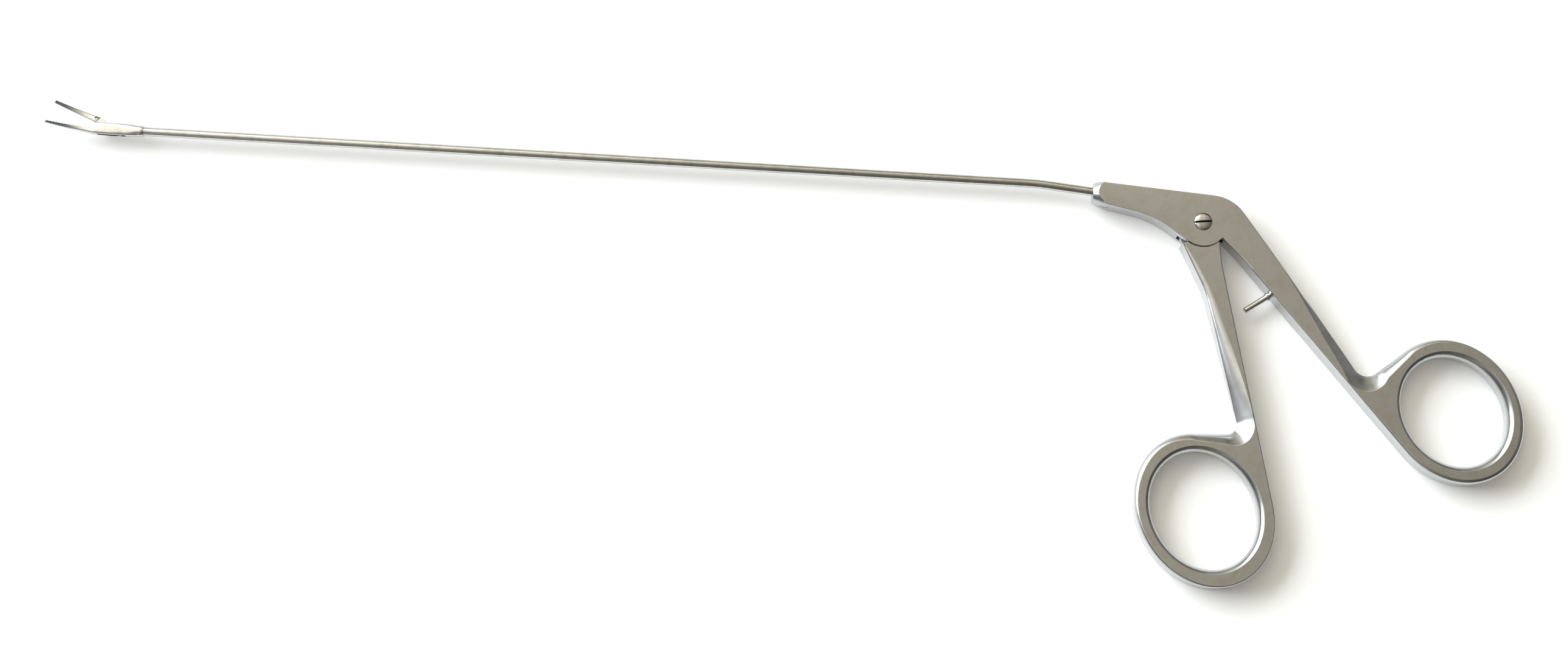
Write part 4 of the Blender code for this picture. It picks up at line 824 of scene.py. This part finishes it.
# A matt white sheet, with a little glow where the camera or the steel sees it. The forceps'
# shadow still shows on it.
paper = bpy.data.materials.new("white_table")
paper.use_nodes = True
tree = paper.node_tree
tree.nodes.clear()
ray = node(tree, "ShaderNodeLightPath").outputs
sees = node(tree, "ShaderNodeMath", {"operation": "MAXIMUM"}, n0=ray["Is Camera Ray"],
            n1=ray["Is Glossy Ray"]).outputs[0]
sees = node(tree, "ShaderNodeMath", {"operation": "MAXIMUM"}, n0=sees,
            n1=ray["Is Transmission Ray"]).outputs[0]
matt = node(tree, "ShaderNodeBsdfDiffuse", Color=srgb("#FBFAF8"))
glow = node(tree, "ShaderNodeEmission", Color=(1.0, 1.0, 1.0, 1.0), Strength=1.0)
half_glow = node(tree, "ShaderNodeMixShader", Fac=TABLE_GLOW, n1=matt.outputs[0],
                 n2=glow.outputs[0])
shown = node(tree, "ShaderNodeMixShader", Fac=sees, n1=matt.outputs[0], n2=half_glow.outputs[0])
node(tree, "ShaderNodeOutputMaterial", Surface=shown.outputs[0])
table.data.materials.append(paper)

# The room's tones by the direction looked in, from -1 to 1: ROOM_TONES from left to right, and
# SIDE_TONES from the near side to the far side. The two are multiplied.
ROOM_TONES = (
    (-0.95, (0.30, 0.30, 0.29)),
    (-0.6, (0.72, 0.70, 0.60)),
    (-0.34, (1.75, 1.70, 1.50)),
    (-0.26, (1.35, 1.29, 1.10)),
    (-0.12, (0.85, 0.80, 0.66)),
    (0.0, (0.50, 0.465, 0.37)),
    (0.12, (0.53, 0.485, 0.37)),
    (0.2, (0.53, 0.48, 0.355)),
    (0.27, (0.35, 0.325, 0.255)),
    (0.4, (0.27, 0.25, 0.195)),
    (0.7, (0.16, 0.152, 0.13)),
    (0.95, (0.15, 0.148, 0.14)))
SIDE_TONES = (
    (-1.0, (0.35, 0.35, 0.37)),
    (-0.72, (0.22, 0.22, 0.23)),
    (-0.45, (0.30, 0.30, 0.31)),
    (-0.24, (0.55, 0.55, 0.55)),
    (-0.05, (0.88, 0.88, 0.88)),
    (0.1, (1.0, 1.0, 1.0)),
    (0.24, (1.05, 1.05, 1.05)),
    (0.42, (1.6, 1.6, 1.6)),
    (0.62, (2.0, 2.0, 2.0)),
    (0.75, (1.3, 1.35, 1.4)),
    (0.88, (0.45, 0.52, 0.62)),
    (1.0, (0.35, 0.42, 0.52)))


def tones(tree, axis, stops):
    """A colour ramp along one axis of the direction looked in, from -1 to 1. The stops are
    halved, because a ramp holds colours up to 1, and ROOM_STRENGTH makes up for both halves."""
    spread = node(tree, "ShaderNodeMapRange", Value=axis, n1=-1.0, n2=1.0, n3=0.0, n4=1.0)
    ramp = node(tree, "ShaderNodeValToRGB", Fac=spread.outputs[0])
    for place, colour in stops:
        stop_colour = (*(0.5 * part for part in colour), 1.0)
        ramp.color_ramp.elements.new(0.5 * (place + 1.0)).color = stop_colour
    ramp.color_ramp.elements.remove(ramp.color_ramp.elements[0])
    ramp.color_ramp.elements.remove(ramp.color_ramp.elements[-1])
    return ramp.outputs[0]


world = bpy.data.worlds.new("soft_room")
bpy.context.scene.world = world
world.use_nodes = True
tree = world.node_tree
tree.nodes.clear()
way = node(tree, "ShaderNodeTexCoord").outputs["Generated"]
axes = node(tree, "ShaderNodeSeparateXYZ", Vector=way).outputs
low = node(tree, "ShaderNodeMapRange", {"interpolation_type": "SMOOTHSTEP"}, Value=axes[2],
           n1=0.05, n2=0.5, n3=0.3, n4=1.0)
room = node(tree, "ShaderNodeVectorMath", {"operation": "MULTIPLY"},
            n0=tones(tree, axes[0], ROOM_TONES), n1=tones(tree, axes[1], SIDE_TONES))
room = node(tree, "ShaderNodeVectorMath", {"operation": "SCALE"}, n0=room.outputs[0],
            Scale=low.outputs[0])
room = node(tree, "ShaderNodeVectorMath", {"operation": "ADD"}, n0=room.outputs[0],
            n1=ROOM_LEAST)
sky = node(tree, "ShaderNodeBackground", Color=room.outputs[0], Strength=ROOM_STRENGTH)
node(tree, "ShaderNodeOutputWorld", Surface=sky.outputs[0])

lamp = bpy.data.lights.new("window_light", "AREA")
lamp.shape = "RECTANGLE"
lamp.size, lamp.size_y = WINDOW_SIZE
lamp.energy = WINDOW_WATTS
lamp.color = WINDOW_COLOUR
window = bpy.data.objects.new("window_light", lamp)
bpy.context.scene.collection.objects.link(window)
window.location = WINDOW_PLACE
aim = Vector(WINDOW_AIM) - window.location
window.rotation_euler = aim.to_track_quat("-Z", "Y").to_euler()

# --- camera: half a metre above the table and tilted ten degrees, to match the photograph.
# Its place is in metres, its turn in degrees, and its lens in millimetres.
CAMERA_PLACE = (-0.08417095, -0.11379329, 0.49519316)
CAMERA_TURN = (9.85, 0.0, 3.4397844)
LENS = 53.106
SENSOR = 36.0
NEAREST = 0.01
lens = bpy.data.cameras.new("view")
lens.lens = LENS
lens.sensor_width = SENSOR
lens.clip_start = NEAREST
camera = bpy.data.objects.new("view", lens)
camera.location = CAMERA_PLACE
camera.rotation_euler = [radians(angle) for angle in CAMERA_TURN]
bpy.context.scene.collection.objects.link(camera)
bpy.context.scene.camera = camera
bpy.context.scene.view_settings.view_transform = "Standard"
